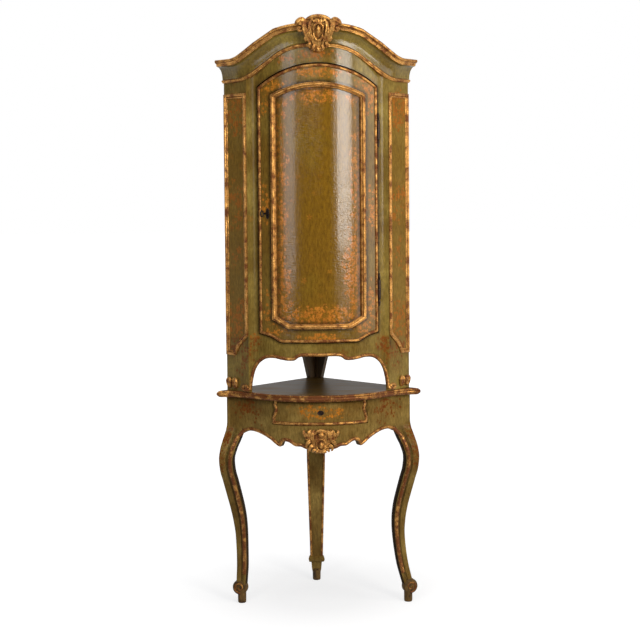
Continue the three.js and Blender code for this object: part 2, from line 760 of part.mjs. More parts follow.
function crest() {
  const right = crest_body_shares.map(([x, z]) => [x * crest_half, crest_low + z * crest_height]);
  const outline = [...right, ...right.slice(1).reverse().map(([x, z]) => [-x, z])];
  const root = cabinet_bow - front_thickness / 2;
  const z = (share) => crest_low + share * crest_height;
  const pieces = [front_cut(outline, root, crest_front)];
  for (const hand of [1, -1]) {
    const { aside, up, radius, thick } = crest_scroll_shares;
    pieces.push(...crest_leaves(hand));
    pieces.push(scroll(hand * aside * crest_half, crest_front - crest_depth, z(up), radius * crest_height, hand,
      crest_scroll_turns, crest_scroll_start, thick * crest_height));
  }
  const lip = crest_lip_shares.map(([x, up, proud]) => [
    x * crest_half, crest_front + proud * crest_depth, z(up),
  ]);
  const lip_radii = crest_lip_thick_shares.map((share) => share * crest_height);
  pieces.push(lobe(lip, lip_radii, leaf_flat_share, lobe_steps));
  const boss = crest_boss_shares;
  const boss_size = [boss.wide * crest_half, crest_depth, boss.tall * crest_height];
  pieces.push(ball(0, crest_front, z(boss.up), ...boss_size));
  const profile = [...bead_profile.slice(0, -1), ...cove_profile.slice(1, -1), ...crown_profile.slice(1)];
  const grown = profile.map(([proud, up], i) => {
    const ends = i === 0 ? -gap : i >= profile.length - 2 ? gap : 0;
    return [proud + gap, up + ends];
  });
  const whole = joined(pieces).subtract(cornice_piece(grown)).subtract(behind_line(cabinet_plan, bent_gap));
  return largest(whole);
}

function behind_line(line, clearance) {
  return prism([...offset_line(line, clearance), [0, 0]].reverse(), -overrun, carcass_top + 2 * overrun);
}

// What a cut leaves loose behind the carving is dropped
function largest(solid) {
  return solid_of(geometry_of(solid)).decompose().reduce((a, b) => (a.volume() > b.volume() ? a : b));
}

// Foot volutes: three small scrolls across the foot of each pilaster
const volute_place_shares = [0.13, 0.42, 0.78];
const volute_height = 62;
const volute_radii = [9, 11, 15];
const volute_proud = 7;
const volute_sides = 10;
const volute_stem_shares = [[-1, 0, 0], [0.2, 0, 0], [0.5, 1, 0], [-0.4, 1, 0.6], [-1, 1, 0]];
const volute_base_shares = [[-0.42, 0.1], [0.46, 0.1], [0.46, 0.3], [-0.42, 0.3]];
function foot_volutes() {
  const sheet = pilaster_sheet();
  const pieces = volute_place_shares.map((share, i) => {
    const radius = volute_radii[i];
    const low = bottom + gap + radius;
    const along = pilaster_width * (0.5 - share);
    const profile = Array.from({ length: volute_sides }, (_, k) => {
      const angle = full_turn * k / volute_sides;
      return [along + radius * Math.cos(angle), low + radius * Math.sin(angle)];
    });
    const reach = volute_height - 2 * radius;
    const stem = volute_stem_shares.map(([across, up, beyond]) => [
      along + across * radius, low + up * reach + beyond * radius,
    ]);
    return joined([profile, stem].map((outline) => {
      const near = outline.map(([s, z]) => sheet.point(s, z, gap));
      const far = outline.map(([s, z]) => sheet.point(s, z, volute_proud));
      return loft([near, far]);
    }));
  });
  const base = volute_base_shares.map(([across, up]) => [
    across * pilaster_width, bottom + gap + up * volute_height,
  ]);
  const plate = loft([gap, volute_proud / 2].map((proud) => base.map(([s, z]) => sheet.point(s, z, proud))));
  return joined([plate, ...pieces]).subtract(apron_void);
}

function build_trim() {
  add_pair('pilaster_frame', pilaster_frame(), 'gilt');
  add('apron_bead', apron_bead(), 'gilt');
  add_pair('foot_volutes', foot_volutes(), 'gilt');
  add('crest', crest(), 'gilt');
}

// Door
function build_door() {
  const edge = door_outline(0, 0);
  const leaf = band(door_plan, 0, -door_thickness, bottom, carcass_top)
    .intersect(front_cut(edge, front_near - overrun, front_far));
  const moulding_edge = panel_outline();
  const opening = offset_line(moulding_edge, -frame_cover, true);
  const run = (outline) => front_cut(outline, front_near - overrun, front_far);
  const groove = band(door_plan, gap - panel_recess, -gap - panel_recess - panel_thickness, bottom, carcass_top)
    .intersect(run(offset_line(opening, panel_hold + gap, true)));
  let frame = leaf.subtract(run(opening)).subtract(groove);
  frame = frame.subtract(key_bore());
  const [low, high] = [bottom - overrun, carcass_top + overrun];
  const joint = opening_width(opening);
  const wide = cabinet_half;
  add('hinge_stile', frame.intersect(between(joint, wide, low, high)), 'green');
  add('lock_stile', frame.intersect(between(-wide, -joint, low, high)), 'green');
  add('door_top_rail', frame.intersect(between(gap - joint, joint - gap, door_middle, high)), 'green');
  const bottom_rail = frame.intersect(between(gap - joint, joint - gap, low, door_middle));
  add('door_bottom_rail', bottom_rail.intersect(bevelled(run(edge))), 'green');
  const panel = band(door_plan, -panel_recess, -panel_recess - panel_thickness, bottom, carcass_top)
    .intersect(run(offset_line(opening, panel_hold, true)));
  add('door_panel', panel, 'panel');
  add('panel_moulding', panel_moulding(moulding_edge), 'gilt');
  add('door_bead', door_bead(edge), 'gilt');
}

// Turned back behind the place where the foot steps down beside the hinges
function bevelled(solid) {
  const slope = Math.tan(radians(foot_bevel));
  const step = door_half * (door_step_shares[0] + door_step_shares[1]) / 2;
  const pivot = door_centre + Math.sqrt(door_radius ** 2 - step ** 2);
  const shear = new THREE.Matrix4().makeShear(0, 0, -slope, 0, 0, 0).setPosition(-slope * pivot, 0, 0);
  return solid_of(geometry_of(solid).applyMatrix4(shear));
}

function opening_width(opening) {
  return Math.max(...opening.map(([x]) => x));
}

const frame_lap = 8; // how far in the moulding steps down beside the frame's edge
const frame_cover = 7; // how much of the frame it covers
const panel_moulding_width = 20;
const panel_moulding_proud = 8;
const panel_moulding_shares = [[0, 0], [0, 0.55], [0.25, 0.8], [0.42, 1], [0.64, 0.9], [0.8, 0.35], [1, 0]];
function panel_moulding(edge) {
  const outline = on_sheet(cabinet_sheet, bent(edge, cabinet_sheet, true));
  const front = panel_moulding_shares.map(([across, out]) => [
    -across * panel_moulding_width,
    (out === 0 && across === 1 ? -panel_recess : out * panel_moulding_proud) + bent_gap,
  ]);
  const back = [[-frame_lap - gap, bent_gap - panel_recess], [-frame_lap - gap, bent_gap]];
  return moulding(cabinet_sheet, outline, [...front, ...back], true);
}

const door_bead_width = 9;
const door_bead_proud = 5;
function door_bead(edge) {
  const outline = on_sheet(cabinet_sheet, bent(edge, cabinet_sheet, true));
  const profile = profile_of(bead_shares, door_bead_width, door_bead_proud);
  let bead = moulding(cabinet_sheet, outline, profile, true);
  for (const centre of hinge_heights) {
    const half = hinge_length / 2 + slack;
    const room = upright(hinge_radius + hinge_stand_off, ...hinge_axis(), centre - half, centre + half,
      knuckle_sides);
    bead = bead.subtract(room);
  }
  return bead;
}

// Hinges: an iron barrel on a pin with turned finials, its leaves in the joint beside the door
const hinge_radius = 6;
const hinge_stand_off = 0.6;
const hinge_pin_radius = 2.6;
const hinge_length = 121;
const hinge_barrel = 62;
const leaf_depth = 18;
const leaf_thickness = 1.4;
const hinge_above_foot = 186;
const hinge_below_arch = 155; // from where the door's straight sides end
const hinge_heights = [hinge_above_foot, door_side_height - hinge_below_arch]
  .map((above_foot) => bottom + door_foot + above_foot);
const hinge_names = ['lower', 'upper'];
const finial_shares = [
  [0, 0.5], [0.25, 0.5], [0.5, 0.465], [0.36, 0.43], [0.75, 0.38], [0.7, 0.34], [0.4, 0.3], [0.95, 0.28],
  [0.95, 0.262],
];
const pin_sides = 8;
const knuckle_sides = 14;
function hinge_axis() {
  const middle = door_half + door_gap / 2;
  const { x, ahead, out } = cabinet_sheet.at(cabinet_sheet.along(middle));
  const reach = hinge_radius + hinge_stand_off;
  return [x + out[0] * reach, ahead + out[1] * reach];
}

function hinge_leaf(low, high) {
  const [x, ahead] = hinge_axis();
  const middle = door_half + door_gap / 2;
  const reach = ahead - hinge_radius - hinge_stand_off - leaf_depth;
  const plate = prism([
    [middle - leaf_thickness / 2, reach], [middle + leaf_thickness / 2, reach],
    [middle + leaf_thickness / 2, ahead], [middle - leaf_thickness / 2, ahead],
  ].reverse(), low, high);
  const knuckle = upright(hinge_radius, x, ahead, low, high, knuckle_sides);
  const bore = upright(hinge_pin_radius + slack, x, ahead, low - overrun, high + overrun, pin_sides);
  return plate.add(knuckle).subtract(bore);
}

function hinge_pin(centre) {
  const half = hinge_barrel / 2 + gap;
  const top = finial_shares.map(([r, z]) => new THREE.Vector2(r * hinge_radius, z * hinge_length));
  const shoulder = [new THREE.Vector2(finial_shares[finial_shares.length - 1][0] * hinge_radius, half)];
  const upper = [...top, ...shoulder, new THREE.Vector2(hinge_pin_radius, half)];
  const lower = upper.map((p) => new THREE.Vector2(p.x, -p.y)).reverse();
  const geometry = new THREE.LatheGeometry([...upper, ...lower].reverse(), pin_sides);
  const [x, ahead] = hinge_axis();
  return facing_out(mergeVertices(bare(geometry.rotateX(Math.PI / 2).translate(x, -ahead, centre)), weld));
}

function build_hinges() {
  hinge_heights.forEach((centre, i) => {
    const name = hinge_names[i];
    const half = hinge_barrel / 2;
    add(`${name}_hinge_frame_leaf`, hinge_leaf(centre - half, centre - gap), 'iron');
    add(`${name}_hinge_door_leaf`, hinge_leaf(centre + gap, centre + half), 'iron');
    add(`${name}_hinge_pin`, hinge_pin(centre), 'iron');
  });
}

// Lock: everything is laid out from the key's axis, square to the door at that place
const lock_above_foot = 465;
const lock_height = bottom + door_foot + lock_above_foot;
const lock_inset = 32; // of the key from the door's edge
const lock_across = lock_inset - door_half;
const key_radius = 3;
const bow_radius = 10.5;
const bow_wire = 2.4;
const key_reach = 34;
const bit_height = 8;
const lock_case = { lock_side: 38, hinge_side: 18, tall: 64, deep: 16 };
const bolt = { nose: 52, tail: 15, tall: 11, deep: 7, up: 17, back: 4 };
const bit_clearance = 3;
const key_room = 11;
const plate_size = { wide: 15, tall: 40, deep: 1.6 };
const plate_sides = 16;
const rod_sides = 12;
const room_sides = 20; // of the round room that the key's bit turns in
function lock_matrix() {
  const turn = Math.asin(lock_across / door_radius);
  const [x, ahead] = [lock_across, door_centre + door_radius * Math.cos(turn)];
  const across = new THREE.Vector3(Math.cos(turn), Math.sin(turn), 0);
  const outward = new THREE.Vector3(Math.sin(turn), -Math.cos(turn), 0);
  const matrix = new THREE.Matrix4().makeBasis(across, new THREE.Vector3(0, 0, 1), outward);
  return matrix.setPosition(x, -ahead, lock_height);
}

function in_lock(geometry) {
  return facing_out(mergeVertices(bare(geometry.applyMatrix4(lock_matrix())), weld));
}

function lock_box(left, right, low, high, near, far) {
  const geometry = new THREE.BoxGeometry(right - left, high - low, far - near);
  return in_lock(geometry.translate((left + right) / 2, (low + high) / 2, (near + far) / 2));
}

function lock_rod(radius, near, far, sides = rod_sides) {
  const geometry = new THREE.CylinderGeometry(radius, radius, far - near, sides);
  return in_lock(geometry.rotateX(Math.PI / 2).translate(0, 0, (near + far) / 2));
}

function key_bore() {
  return lock_rod(key_radius + 2 * slack, -2 * front_thickness, overrun);
}

// A flat case touches the hollow back of the door only at its far edge
const case_hollow = lock_case.lock_side ** 2 / (2 * (door_radius - door_thickness));
const case_front = -door_thickness - gap - case_hollow;
const case_back = case_front - lock_case.deep;
function build_lock() {
  const half = lock_case.tall / 2;
  const shell = lock_box(-lock_case.lock_side, lock_case.hinge_side, -half, half, case_back, case_front);
  const [bolt_low, bolt_high] = [bolt.up - bolt.tall / 2, bolt.up + bolt.tall / 2];
  const channel = lock_box(-2 * overrun, bolt.tail + slack, bolt_low - slack, bolt_high + slack,
    bolt_back - slack, bolt_back + bolt.deep + slack);
  const room = lock_rod(key_room, bit_back - slack, bit_back + bit_height + slack, room_sides);
  const hole = lock_rod(key_radius + slack, bit_back - slack, overrun);
  add('lock_case', shell.subtract(channel).subtract(room).subtract(hole), 'iron');
  const bolt_bar = lock_box(-bolt.nose, bolt.tail, bolt_low, bolt_high, bolt_back, bolt_back + bolt.deep);
  add('lock_bolt', bolt_bar, 'iron');
  const plate_radius = plate_size.wide / 2;
  const plate = in_lock(new THREE.CylinderGeometry(plate_radius, plate_radius, plate_size.deep, plate_sides)
    .rotateX(Math.PI / 2)
    .scale(1, plate_size.tall / plate_size.wide, 1)
    .translate(0, 0, 2 * gap + plate_size.deep / 2));
  add('keyhole_plate', plate.subtract(lock_rod(key_radius + slack, -overrun, overrun)), 'iron');
  add('door_key', door_key(), 'iron');
}

const bolt_back = case_back + bolt.back;
const bit_back = case_back + bit_clearance;
const bit_size = { wide: 8, thick: 2.4 };
const wire_sides = 6;
const ring_steps = 14;
const collar_wall = 1.2;
const collar_shares = [0.55, 0.66]; // of the key's reach
function door_key() {
  const shank = lock_rod(key_radius, bit_back, key_reach);
  const collar = lock_rod(key_radius + collar_wall, ...collar_shares.map((share) => share * key_reach));
  const bow = new THREE.TorusGeometry(bow_radius, bow_wire, wire_sides, ring_steps);
  const ring = in_lock(bow.rotateY(Math.PI / 2).translate(0, 0, key_reach + bow_radius - bow_wire / 2));
  const bit = lock_box(-bit_size.thick / 2, bit_size.thick / 2, -bit_size.wide, 0, bit_back, bit_back + bit_height);
  return joined([shank, collar, ring, bit]);
}

// Stand: top and its moulded edge
const edge_profile_shares = [
  [1, 1], [0.45, 1], [0.2, 0.8], [0, 0.52], [0, 0.32], [0.2, 0.1], [0.65, 0], [1, 0],
];
function build_top() {
  const low = stand_height - top_thickness;
  const wedge = corner_region(0, -overrun, stand_height + overrun);
  const inner = offset_line(top_plan, -top_edge_width - gap);
  const board = prism([...inner, [0, 0]].reverse(), low, stand_height);
  add('stand_top', board.intersect(wedge), 'dark');
  const lines = edge_profile_shares.map(([back]) => offset_line(top_plan, -back * top_edge_width));
  const rings = top_plan.map((_, i) => edge_profile_shares.map(([, down], j) => {
    const [x, ahead] = lines[j][i];
    return [x, -ahead, stand_height - down * top_thickness];
  }));
  add('stand_top_edge', loft(rings).intersect(wedge), 'gilt');
}

// Front legs: sections in plan, placed by the outer front corner as it runs down the S of the leg.
// Each station: share of the leg's height, share of the knee's reach, share of the width and of the depth.
const leg_turn = 16; // degrees that the leg's face looks outwards
const leg_width = 62;
const leg_depth = 44;
const knee_reach = 31;
const leg_corner = apron_corner();
const leg_station_shares = [
  [1, 0, 1, 1], [0.88, 0, 1, 1], [0.845, 0.12, 1.02, 1], [0.82, 0.32, 1.03, 0.98], [0.79, 0.58, 1.01, 0.96],
  [0.75, 0.86, 0.92, 0.94], [0.705, 1, 0.84, 0.92], [0.66, 0.9, 0.83, 0.9], [0.6, 0.55, 0.83, 0.88],
  [0.53, 0.12, 0.82, 0.86], [0.46, -0.3, 0.79, 0.83], [0.39, -0.62, 0.73, 0.8], [0.32, -0.8, 0.66, 0.78],
  [0.25, -0.82, 0.63, 0.77], [0.18, -0.76, 0.62, 0.76], [0.12, -0.62, 0.6, 0.75], [0.07, -0.55, 0.55, 0.74],
  [0.035, -0.6, 0.5, 0.72],
];
const leg_face_shares = [[0, 0], [-0.5, 0], [-0.58, -0.05], [-0.66, -0.05], [-0.72, 0], [-1, 0]];
const leg_chamfer_share = 0.12;
const leg_bead_share = 0.86;
const leg_bead_first = 4; // the station where the bead begins
const leg_bead_proud = 4;
const right_drift = 38; // the right foot has crept this far along its wall
const left_drift = 15; // and the left one this far inwards
const drift_from_share = 0.5; // share of the leg's height where the creep begins

function apron_corner() {
  const end = apron_plan[apron_plan.length - 1];
  const before = apron_plan[apron_plan.length - 2];
  const share = (end[0] - end[1]) / ((end[0] - end[1]) - (before[0] - before[1]));
  return end[0] + share * (before[0] - end[0]);
}

function leg_frame(station) {
  const [up, reach, wide, deep] = station;
  const turn = radians(leg_turn);
  const shift = reach * knee_reach;
  return {
    z: up * (stand_height - top_thickness - gap),
    corner: [leg_corner + shift, leg_corner + shift],
    face: [Math.cos(turn), -Math.sin(turn)],
    out: [Math.sin(turn), Math.cos(turn)],
    wide: wide * leg_width,
    deep: deep * leg_depth,
  };
}

function leg_place({ corner, face, out }, across, proud) {
  return [corner[0] + face[0] * across + out[0] * proud, corner[1] + face[1] * across + out[1] * proud];
}

function creep(z, hand) {
  const from = drift_from_share * stand_height;
  const drift = hand > 0 ? right_drift : -left_drift;
  const shift = drift * (Math.max(from - z, 0) / from) ** 2;
  return [shift, Math.max(shift, 0)];
}

function leg_body(hand, grow = 0) {
  const rings = leg_station_shares.map((station) => {
    const frame = leg_frame(station);
    const { z, wide, deep } = frame;
    const chamfer = leg_chamfer_share * deep;
    const face = leg_face_shares.map(([across, in_share]) => [
      across * wide + (across === 0 ? grow : 0) - (across === -1 ? grow : 0),
      in_share * wide + grow,
    ]);
    const back = [
      [-wide - grow, -deep + chamfer - grow], [-wide + chamfer, -deep - grow],
      [-chamfer, -deep - grow], [grow, -deep + chamfer - grow],
    ];
    const [aside, onward] = creep(z, hand);
    return [...face, ...back].map(([across, proud]) => {
      const [x, ahead] = leg_place(frame, across, proud);
      return [x + aside, -ahead - onward, z + (station === leg_station_shares[0] ? grow : 0)];
    });
  });
  return loft(rings);
}

// Scroll foot on a peg
const foot_radius = 28;
const foot_height = 59;
const foot_eye_share = 0.5;
const foot_eye_proud = 3;
const foot_across_share = 0.5;
const foot_sides = 18;
const foot_eye_sides = 12;
const peg_radius = 16;
const peg_height = 40;
const peg_sides = 8;
function leg_foot(hand) {
  const station = leg_station_shares[leg_station_shares.length - 2];
  const frame = leg_frame(station);
  const across = -foot_across_share * frame.wide;
  const [x, ahead] = leg_place(frame, across, -frame.deep / 2);
  const [aside, onward] = creep(foot_height, hand);
  const disc = (radius, near, far, sides) => {
    const geometry = new THREE.CylinderGeometry(radius, radius, far - near, sides);
    geometry.translate(0, (near + far) / 2, 0).rotateX(Math.PI).rotateZ(radians(leg_turn));
    geometry.translate(x + aside, -ahead - onward, foot_height);
    return facing_out(mergeVertices(bare(geometry), weld));
  };
  const half = frame.deep / 2;
  const scroll_disc = disc(foot_radius, -half, half, foot_sides);
  const eye = disc(foot_radius * foot_eye_share, 0, half + foot_eye_proud, foot_eye_sides);
  const peg = upright(peg_radius, x + aside, ahead + onward, 0, peg_height, peg_sides);
  return joined([scroll_disc, eye, peg]);
}

function wall_wedge() {
  return corner_region(0, -overrun, stand_height + overrun);
}

function front_leg(hand) {
  return leg_body(hand).add(leg_foot(hand)).intersect(wall_wedge());
}

// Gilt bead on the inner edge of a leg's face, in the same sections as the leg
function leg_bead(hand) {
  const last = leg_station_shares.length - 2;
  const rings = leg_station_shares.slice(leg_bead_first, last).map((station) => {
    const frame = leg_frame(station);
    const [aside, onward] = creep(frame.z, hand);
    return bead_shares.map(([across, proud]) => {
      const middle = -leg_bead_share * frame.wide + (0.5 - across) * bead_width;
      const [x, ahead] = leg_place(frame, middle, gap + proud * leg_bead_proud);
      return [x + aside, -ahead - onward, frame.z];
    });
  });
  return loft(rings);
}

// Back leg: one front face, its other two sides against the walls, small ears above a peg
const back_station_shares = [
  [1, 1], [0.62, 0.97], [0.17, 0.7], [0.125, 0.68], [0.118, 0.8], [0.106, 0.86], [0.095, 0.8], [0.09, 0.56],
  [0.055, 0.5], [0.04, 0.44],
];
const back_half = 37;
const back_flat = 14;
const back_peg_radius = 14.5;
const back_peg_ahead = 30;
function back_leg_rings(grow) {
  return back_station_shares.map(([up, share]) => {
    const half = share * back_half + grow;
    const z = up * (stand_height - top_thickness - gap);
    return [[0, 0], [half, half], [half, half + back_flat], [-half, half + back_flat], [-half, half]]
      .map(([x, ahead]) => [x, -ahead, z]);
  });
}

function back_leg() {
  const peg = upright(back_peg_radius, 0, back_peg_ahead, 0, peg_height, peg_sides);
  return loft(back_leg_rings(0)).add(peg);
}

const sliver = 1; // clears the very corner between the two side rails
const sliver_sides = 4;
const back_bead_width = 9;
const back_bead_stations = 4; // stations that the bead runs past
function back_leg_bead(hand) {
  const high = stand_height - top_thickness - rail_height - 2 * gap;
  const rings = back_station_shares.slice(0, back_bead_stations).map(([up, share]) => {
    const half = share * back_half;
    const z = Math.min(up * (stand_height - top_thickness - gap), high);
    return bead_shares.map(([across, proud]) => [
      hand * (half - across * back_bead_width),
      -(half + back_flat + gap + proud * leg_bead_proud),
      z,
    ]);
  });
  return loft(rings);
}

// Apron of the stand, with the drawer's opening and a shaped lower edge
const drawer_half = 174;
const drawer_low = 113; // below the top of the stand
const drawer_gap = 1;
const stand_apron_half = leg_inner();
const stand_apron_low = 200; // lowest carved point below the top of the stand
const stand_apron_shares = [
  [0, 0], [0.19, 0.03], [0.25, 0.12], [0.33, 0.14], [0.41, 0.3], [0.475, 0.31], [0.515, 0.08], [0.56, 0.14],
  [0.64, 0.35], [0.725, 0.5], [0.815, 0.6], [0.9, 0.62], [0.99, 0.5], [1.05, 0.3],
];
const stand_apron_rise = 84;
const stand_apron_steps = 21;
const stand_apron_line = drawn(stand_apron_shares, stand_apron_half, stand_apron_rise, stand_apron_steps)
  .map(([x, z]) => [x, stand_height - stand_apron_low + z]);

function build_stand() {
  const under_top = stand_height - top_thickness - gap;
  const near = -overrun;
  const far = top_bow + overrun;
  const last = stand_apron_line[stand_apron_line.length - 1];
  const edge = [...stand_apron_line.slice(1).reverse().map(([x, z]) => [-x, z]), ...stand_apron_line];
  const below = front_cut([...edge, [last[0], 0], [-last[0], 0]], near, far);
  const notch = between(-drawer_half - drawer_gap, drawer_half + drawer_gap,
    stand_height - drawer_low - drawer_gap, stand_height);
  const grown = [leg_body(1, gap), mirrored(leg_body(-1, gap))];
  let apron = band(apron_plan, 0, -apron_thickness, 0, under_top).subtract(below).subtract(notch);
  grown.forEach((leg) => { apron = apron.subtract(leg); });
  apron = apron.intersect(between(-leg_inner(), leg_inner(), 0, under_top + gap));
  add('stand_apron', largest(apron), 'green');
  add('front_leg_right', front_leg(1), 'green');
  add('front_leg_left', mirrored(front_leg(-1)), 'green');
  add('back_leg', back_leg(), 'green');
  const rail = side_rail(under_top);
  const corner_rod = upright(sliver, 0, sliver, 0, under_top + gap, sliver_sides);
  const back_grown = loft(back_leg_rings(gap)).add(corner_rod);
  const right_rail = rail.subtract(grown[0]).subtract(back_grown);
  add('side_rail_right', largest(right_rail), 'green');
  add('side_rail_left', largest(mirrored(rail).subtract(grown[1]).subtract(back_grown)), 'green');
}

function leg_inner() {
  return leg_corner - leg_width * Math.cos(radians(leg_turn));
}

function side_rail(high) {
  const start = back_half * Math.SQRT2 / 2;
  const end = leg_corner * Math.SQRT2;
  const outline = [[start, high - rail_height], [end, high - rail_height], [end, high], [start, high]];
  return on_wall(outline, rail_thickness);
}

// Gilt bead along the lower edge of the stand's apron, as far as the beads of the legs
const apron_sheet = new Sheet(apron_plan);
function stand_apron_bead(grow = 0) {
  const limit = leg_inner() - gap;
  const kept = stand_apron_line.filter(([x]) => x < limit);
  const half = on_sheet(apron_sheet, kept);
  const left = half.slice(1).reverse().map(([along, z]) => [-along, z]);
  const profile = bead_shares.map(([across, out]) => [
    across * (bead_width + 2 * grow) - grow,
    bent_gap + out * (bead_proud + grow),
  ]);
  return moulding(apron_sheet, [...left, ...half], profile, false);
}

// Shell: lobes that fan out under a round boss, with a scroll on each side
const shell_half = 70;
const shell_height = 88;
const shell_hang = 9; // how far it hangs below the apron
const shell_low = stand_height - stand_apron_low - shell_hang;
const shell_depth = 11;
const shell_lobe_count = 7;
const shell_spread = 150; // degrees that the lobes fan over
const shell_centre_share = 0.62;
const shell_reach_share = 0.56;
const shell_boss_shares = { up: 0.76, wide: 0.2, tall: 0.19 };
const shell_drop_shares = { up: 0.3, wide: 0.1, tall: 0.14 };
const shell_lobe_shares = [
  { out: 0.1, proud: 0, wide: 0.06 }, { out: 0.6, proud: 0.7, wide: 0.13 }, { out: 1, proud: 0.2, wide: 0.08 },
];
const shell_scroll_shares = { aside: 0.68, up: 0.74, radius: 0.2, thick: 0.09 };
const shell_scroll_turns = 1;
const shell_scroll_start = 0.8; // radians
const shell_front = top_bow - top_overhang;
function shell_ball({ up, wide, tall }, proud) {
  return ball(0, shell_front + proud, shell_low + up * shell_height, wide * shell_half, shell_depth,
    tall * shell_height);
}

function shell_lobe(angle) {
  const reach = shell_reach_share * shell_height;
  const centre = shell_low + shell_centre_share * shell_height;
  const places = shell_lobe_shares.map(({ out, proud }) => [
    Math.sin(angle) * reach * out, shell_front + proud * shell_depth, centre - Math.cos(angle) * reach * out,
  ]);
  return lobe(places, shell_lobe_shares.map(({ wide }) => wide * shell_half), leaf_flat_share, lobe_steps);
}

function shell() {
  const pieces = [shell_ball(shell_boss_shares, 0), shell_ball(shell_drop_shares, shell_depth / 2)];
  for (let i = 0; i < shell_lobe_count; i++) {
    pieces.push(shell_lobe(radians(shell_spread * (i / (shell_lobe_count - 1) - 0.5))));
  }
  const { aside, up, radius, thick } = shell_scroll_shares;
  for (const hand of [1, -1]) {
    pieces.push(scroll(hand * aside * shell_half, shell_front, shell_low + up * shell_height, radius * shell_half,
      hand, shell_scroll_turns, shell_scroll_start, thick * shell_half));
  }
  const whole = joined(pieces).subtract(behind_line(apron_plan, gap));
  return largest(whole.subtract(stand_apron_bead(2 * bent_gap)));
}

// Drawer
const drawer_side_half = 150;
const drawer_back = 214; // its back board, ahead of the corner
const side_thickness = 10;
const bottom_thickness = 7;
const side_low = 105;
const side_high = 34;
const front_board = 20;
const drawer_lock = { tall: 40, deep: 10 };
const keyhole_drop = 67; // below the top of the stand
const keyhole_radius = 6;
const keyhole_stretch = 1.5;
const keyhole_sides = 12;
function build_drawer() {
  const low = stand_height - drawer_low;
  const high = stand_height - top_thickness - drawer_gap;
  const key_place = stand_height - keyhole_drop;
  const keyhole = new THREE.CylinderGeometry(keyhole_radius, keyhole_radius, 2 * top_bow, keyhole_sides)
    .scale(keyhole_stretch, 1, 1);
  const hole = facing_out(mergeVertices(bare(keyhole.translate(0, -top_bow, key_place)), weld));
  const front = band(apron_plan, 0, -front_board, low, high)
    .intersect(between(-drawer_half, drawer_half, low, high)).subtract(hole);
  add('drawer_front', front, 'green');
  const [floor, rim] = [stand_height - side_low, stand_height - side_high];
  const back_of_front = [...offset_line(apron_plan, -front_board - gap), [0, 0]].reverse();
  const behind_front = prism(back_of_front, floor - overrun, rim + overrun);
  const side = prism([
    [drawer_side_half - side_thickness, drawer_back], [drawer_side_half, drawer_back],
    [drawer_side_half, top_bow], [drawer_side_half - side_thickness, top_bow],
  ].reverse(), floor, rim).intersect(behind_front);
  add_pair('drawer_side', side, 'wood');
  const inner = drawer_side_half - side_thickness - gap;
  add('drawer_back', box(-inner, inner, drawer_back, drawer_back + side_thickness, floor, rim), 'wood');
  const bottom_board = prism([
    [-inner, drawer_back + side_thickness + gap], [inner, drawer_back + side_thickness + gap],
    [inner, top_bow], [-inner, top_bow],
  ].reverse(), floor, floor + bottom_thickness).intersect(behind_front);
  add('drawer_bottom', bottom_board, 'wood');
  const half = drawer_lock.tall / 2;
  const lock_front = apron_sheet.at(apron_sheet.along(half)).ahead - front_board - 2 * gap;
  const lock = box(-half, half, lock_front - drawer_lock.deep, lock_front, key_place - half, key_place + half)
    .subtract(hole);
  add('drawer_lock', lock, 'iron');
  add('drawer_moulding', drawer_moulding(low, high), 'gilt');
  add_pair('drawer_runner', drawer_runner(floor), 'wood');
}

function box(x0, x1, near, far, low, high) {
  return prism([[x0, near], [x0, far], [x1, far], [x1, near]], low, high);
}

const drawer_bead_width = 9;
const drawer_bead_shares = [
  [0.99, 0], [0.985, 0.3], [0.955, 0.5], [0.94, 0.65], [0.965, 0.82], [0.95, 0.92], [0.95, 1],
];
function drawer_moulding(low, high) {
  const tall = high - low;
  const right = drawer_bead_shares.map(([x, up]) => [drawer_half * x, low + gap + up * (tall - 2 * gap)]);
  const left = right.map(([x, z]) => [-x, z]);
  const outline = bent([...right.reverse(), ...left], apron_sheet);
  const profile = profile_of(bead_shares, drawer_bead_width, bead_proud);
  return moulding(apron_sheet, on_sheet(apron_sheet, outline), profile, false);
}

const runner_width = 26;
const runner_height = 16;
function drawer_runner(floor) {
  const high = floor - slack;
  const bar = box(drawer_side_half - runner_width / 2 - side_thickness / 2,
    drawer_side_half + runner_width / 2 - side_thickness / 2, 0, top_bow, high - runner_height, high);
  const inside = corner_region(rail_thickness + gap, 0, stand_height);
  const back_of_apron = [...offset_line(apron_plan, -apron_thickness - gap), [0, 0]].reverse();
  const behind = prism(back_of_apron, 0, stand_height);
  return bar.intersect(inside).intersect(behind);
}

build_front();
build_carcass();
build_cornice();
build_trim();
build_door();
build_hinges();
build_lock();
build_top();
build_stand();
add('stand_apron_bead', stand_apron_bead(), 'gilt');
add('leg_bead_right', leg_bead(1), 'gilt');
add('leg_bead_left', mirrored(leg_bead(-1)), 'gilt');
add('back_leg_bead_right', back_leg_bead(1), 'gilt');
add('back_leg_bead_left', back_leg_bead(-1), 'gilt');
add('apron_shell', shell(), 'gilt');
build_drawer();

// The origin is the middle of the footprint, on the floor
const bounds = new THREE.Box3().setFromObject(cupboard);
cupboard.position.y = -(bounds.min.y + bounds.max.y) / 2;

export default cupboard;
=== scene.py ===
# %% [markdown]
# # A painted and parcel-gilt corner cupboard
# The cupboard is a bow-fronted cabinet that stands on a three-legged corner stand. The packed
# model gives every piece its place. Here the front gets its smooth bow, its carving, its
# gilding and its painted flowers, in the same frame, in metres.

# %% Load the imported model
import json
import math

import bmesh
import bpy
import numpy as np
from mathutils import Matrix, Vector, noise


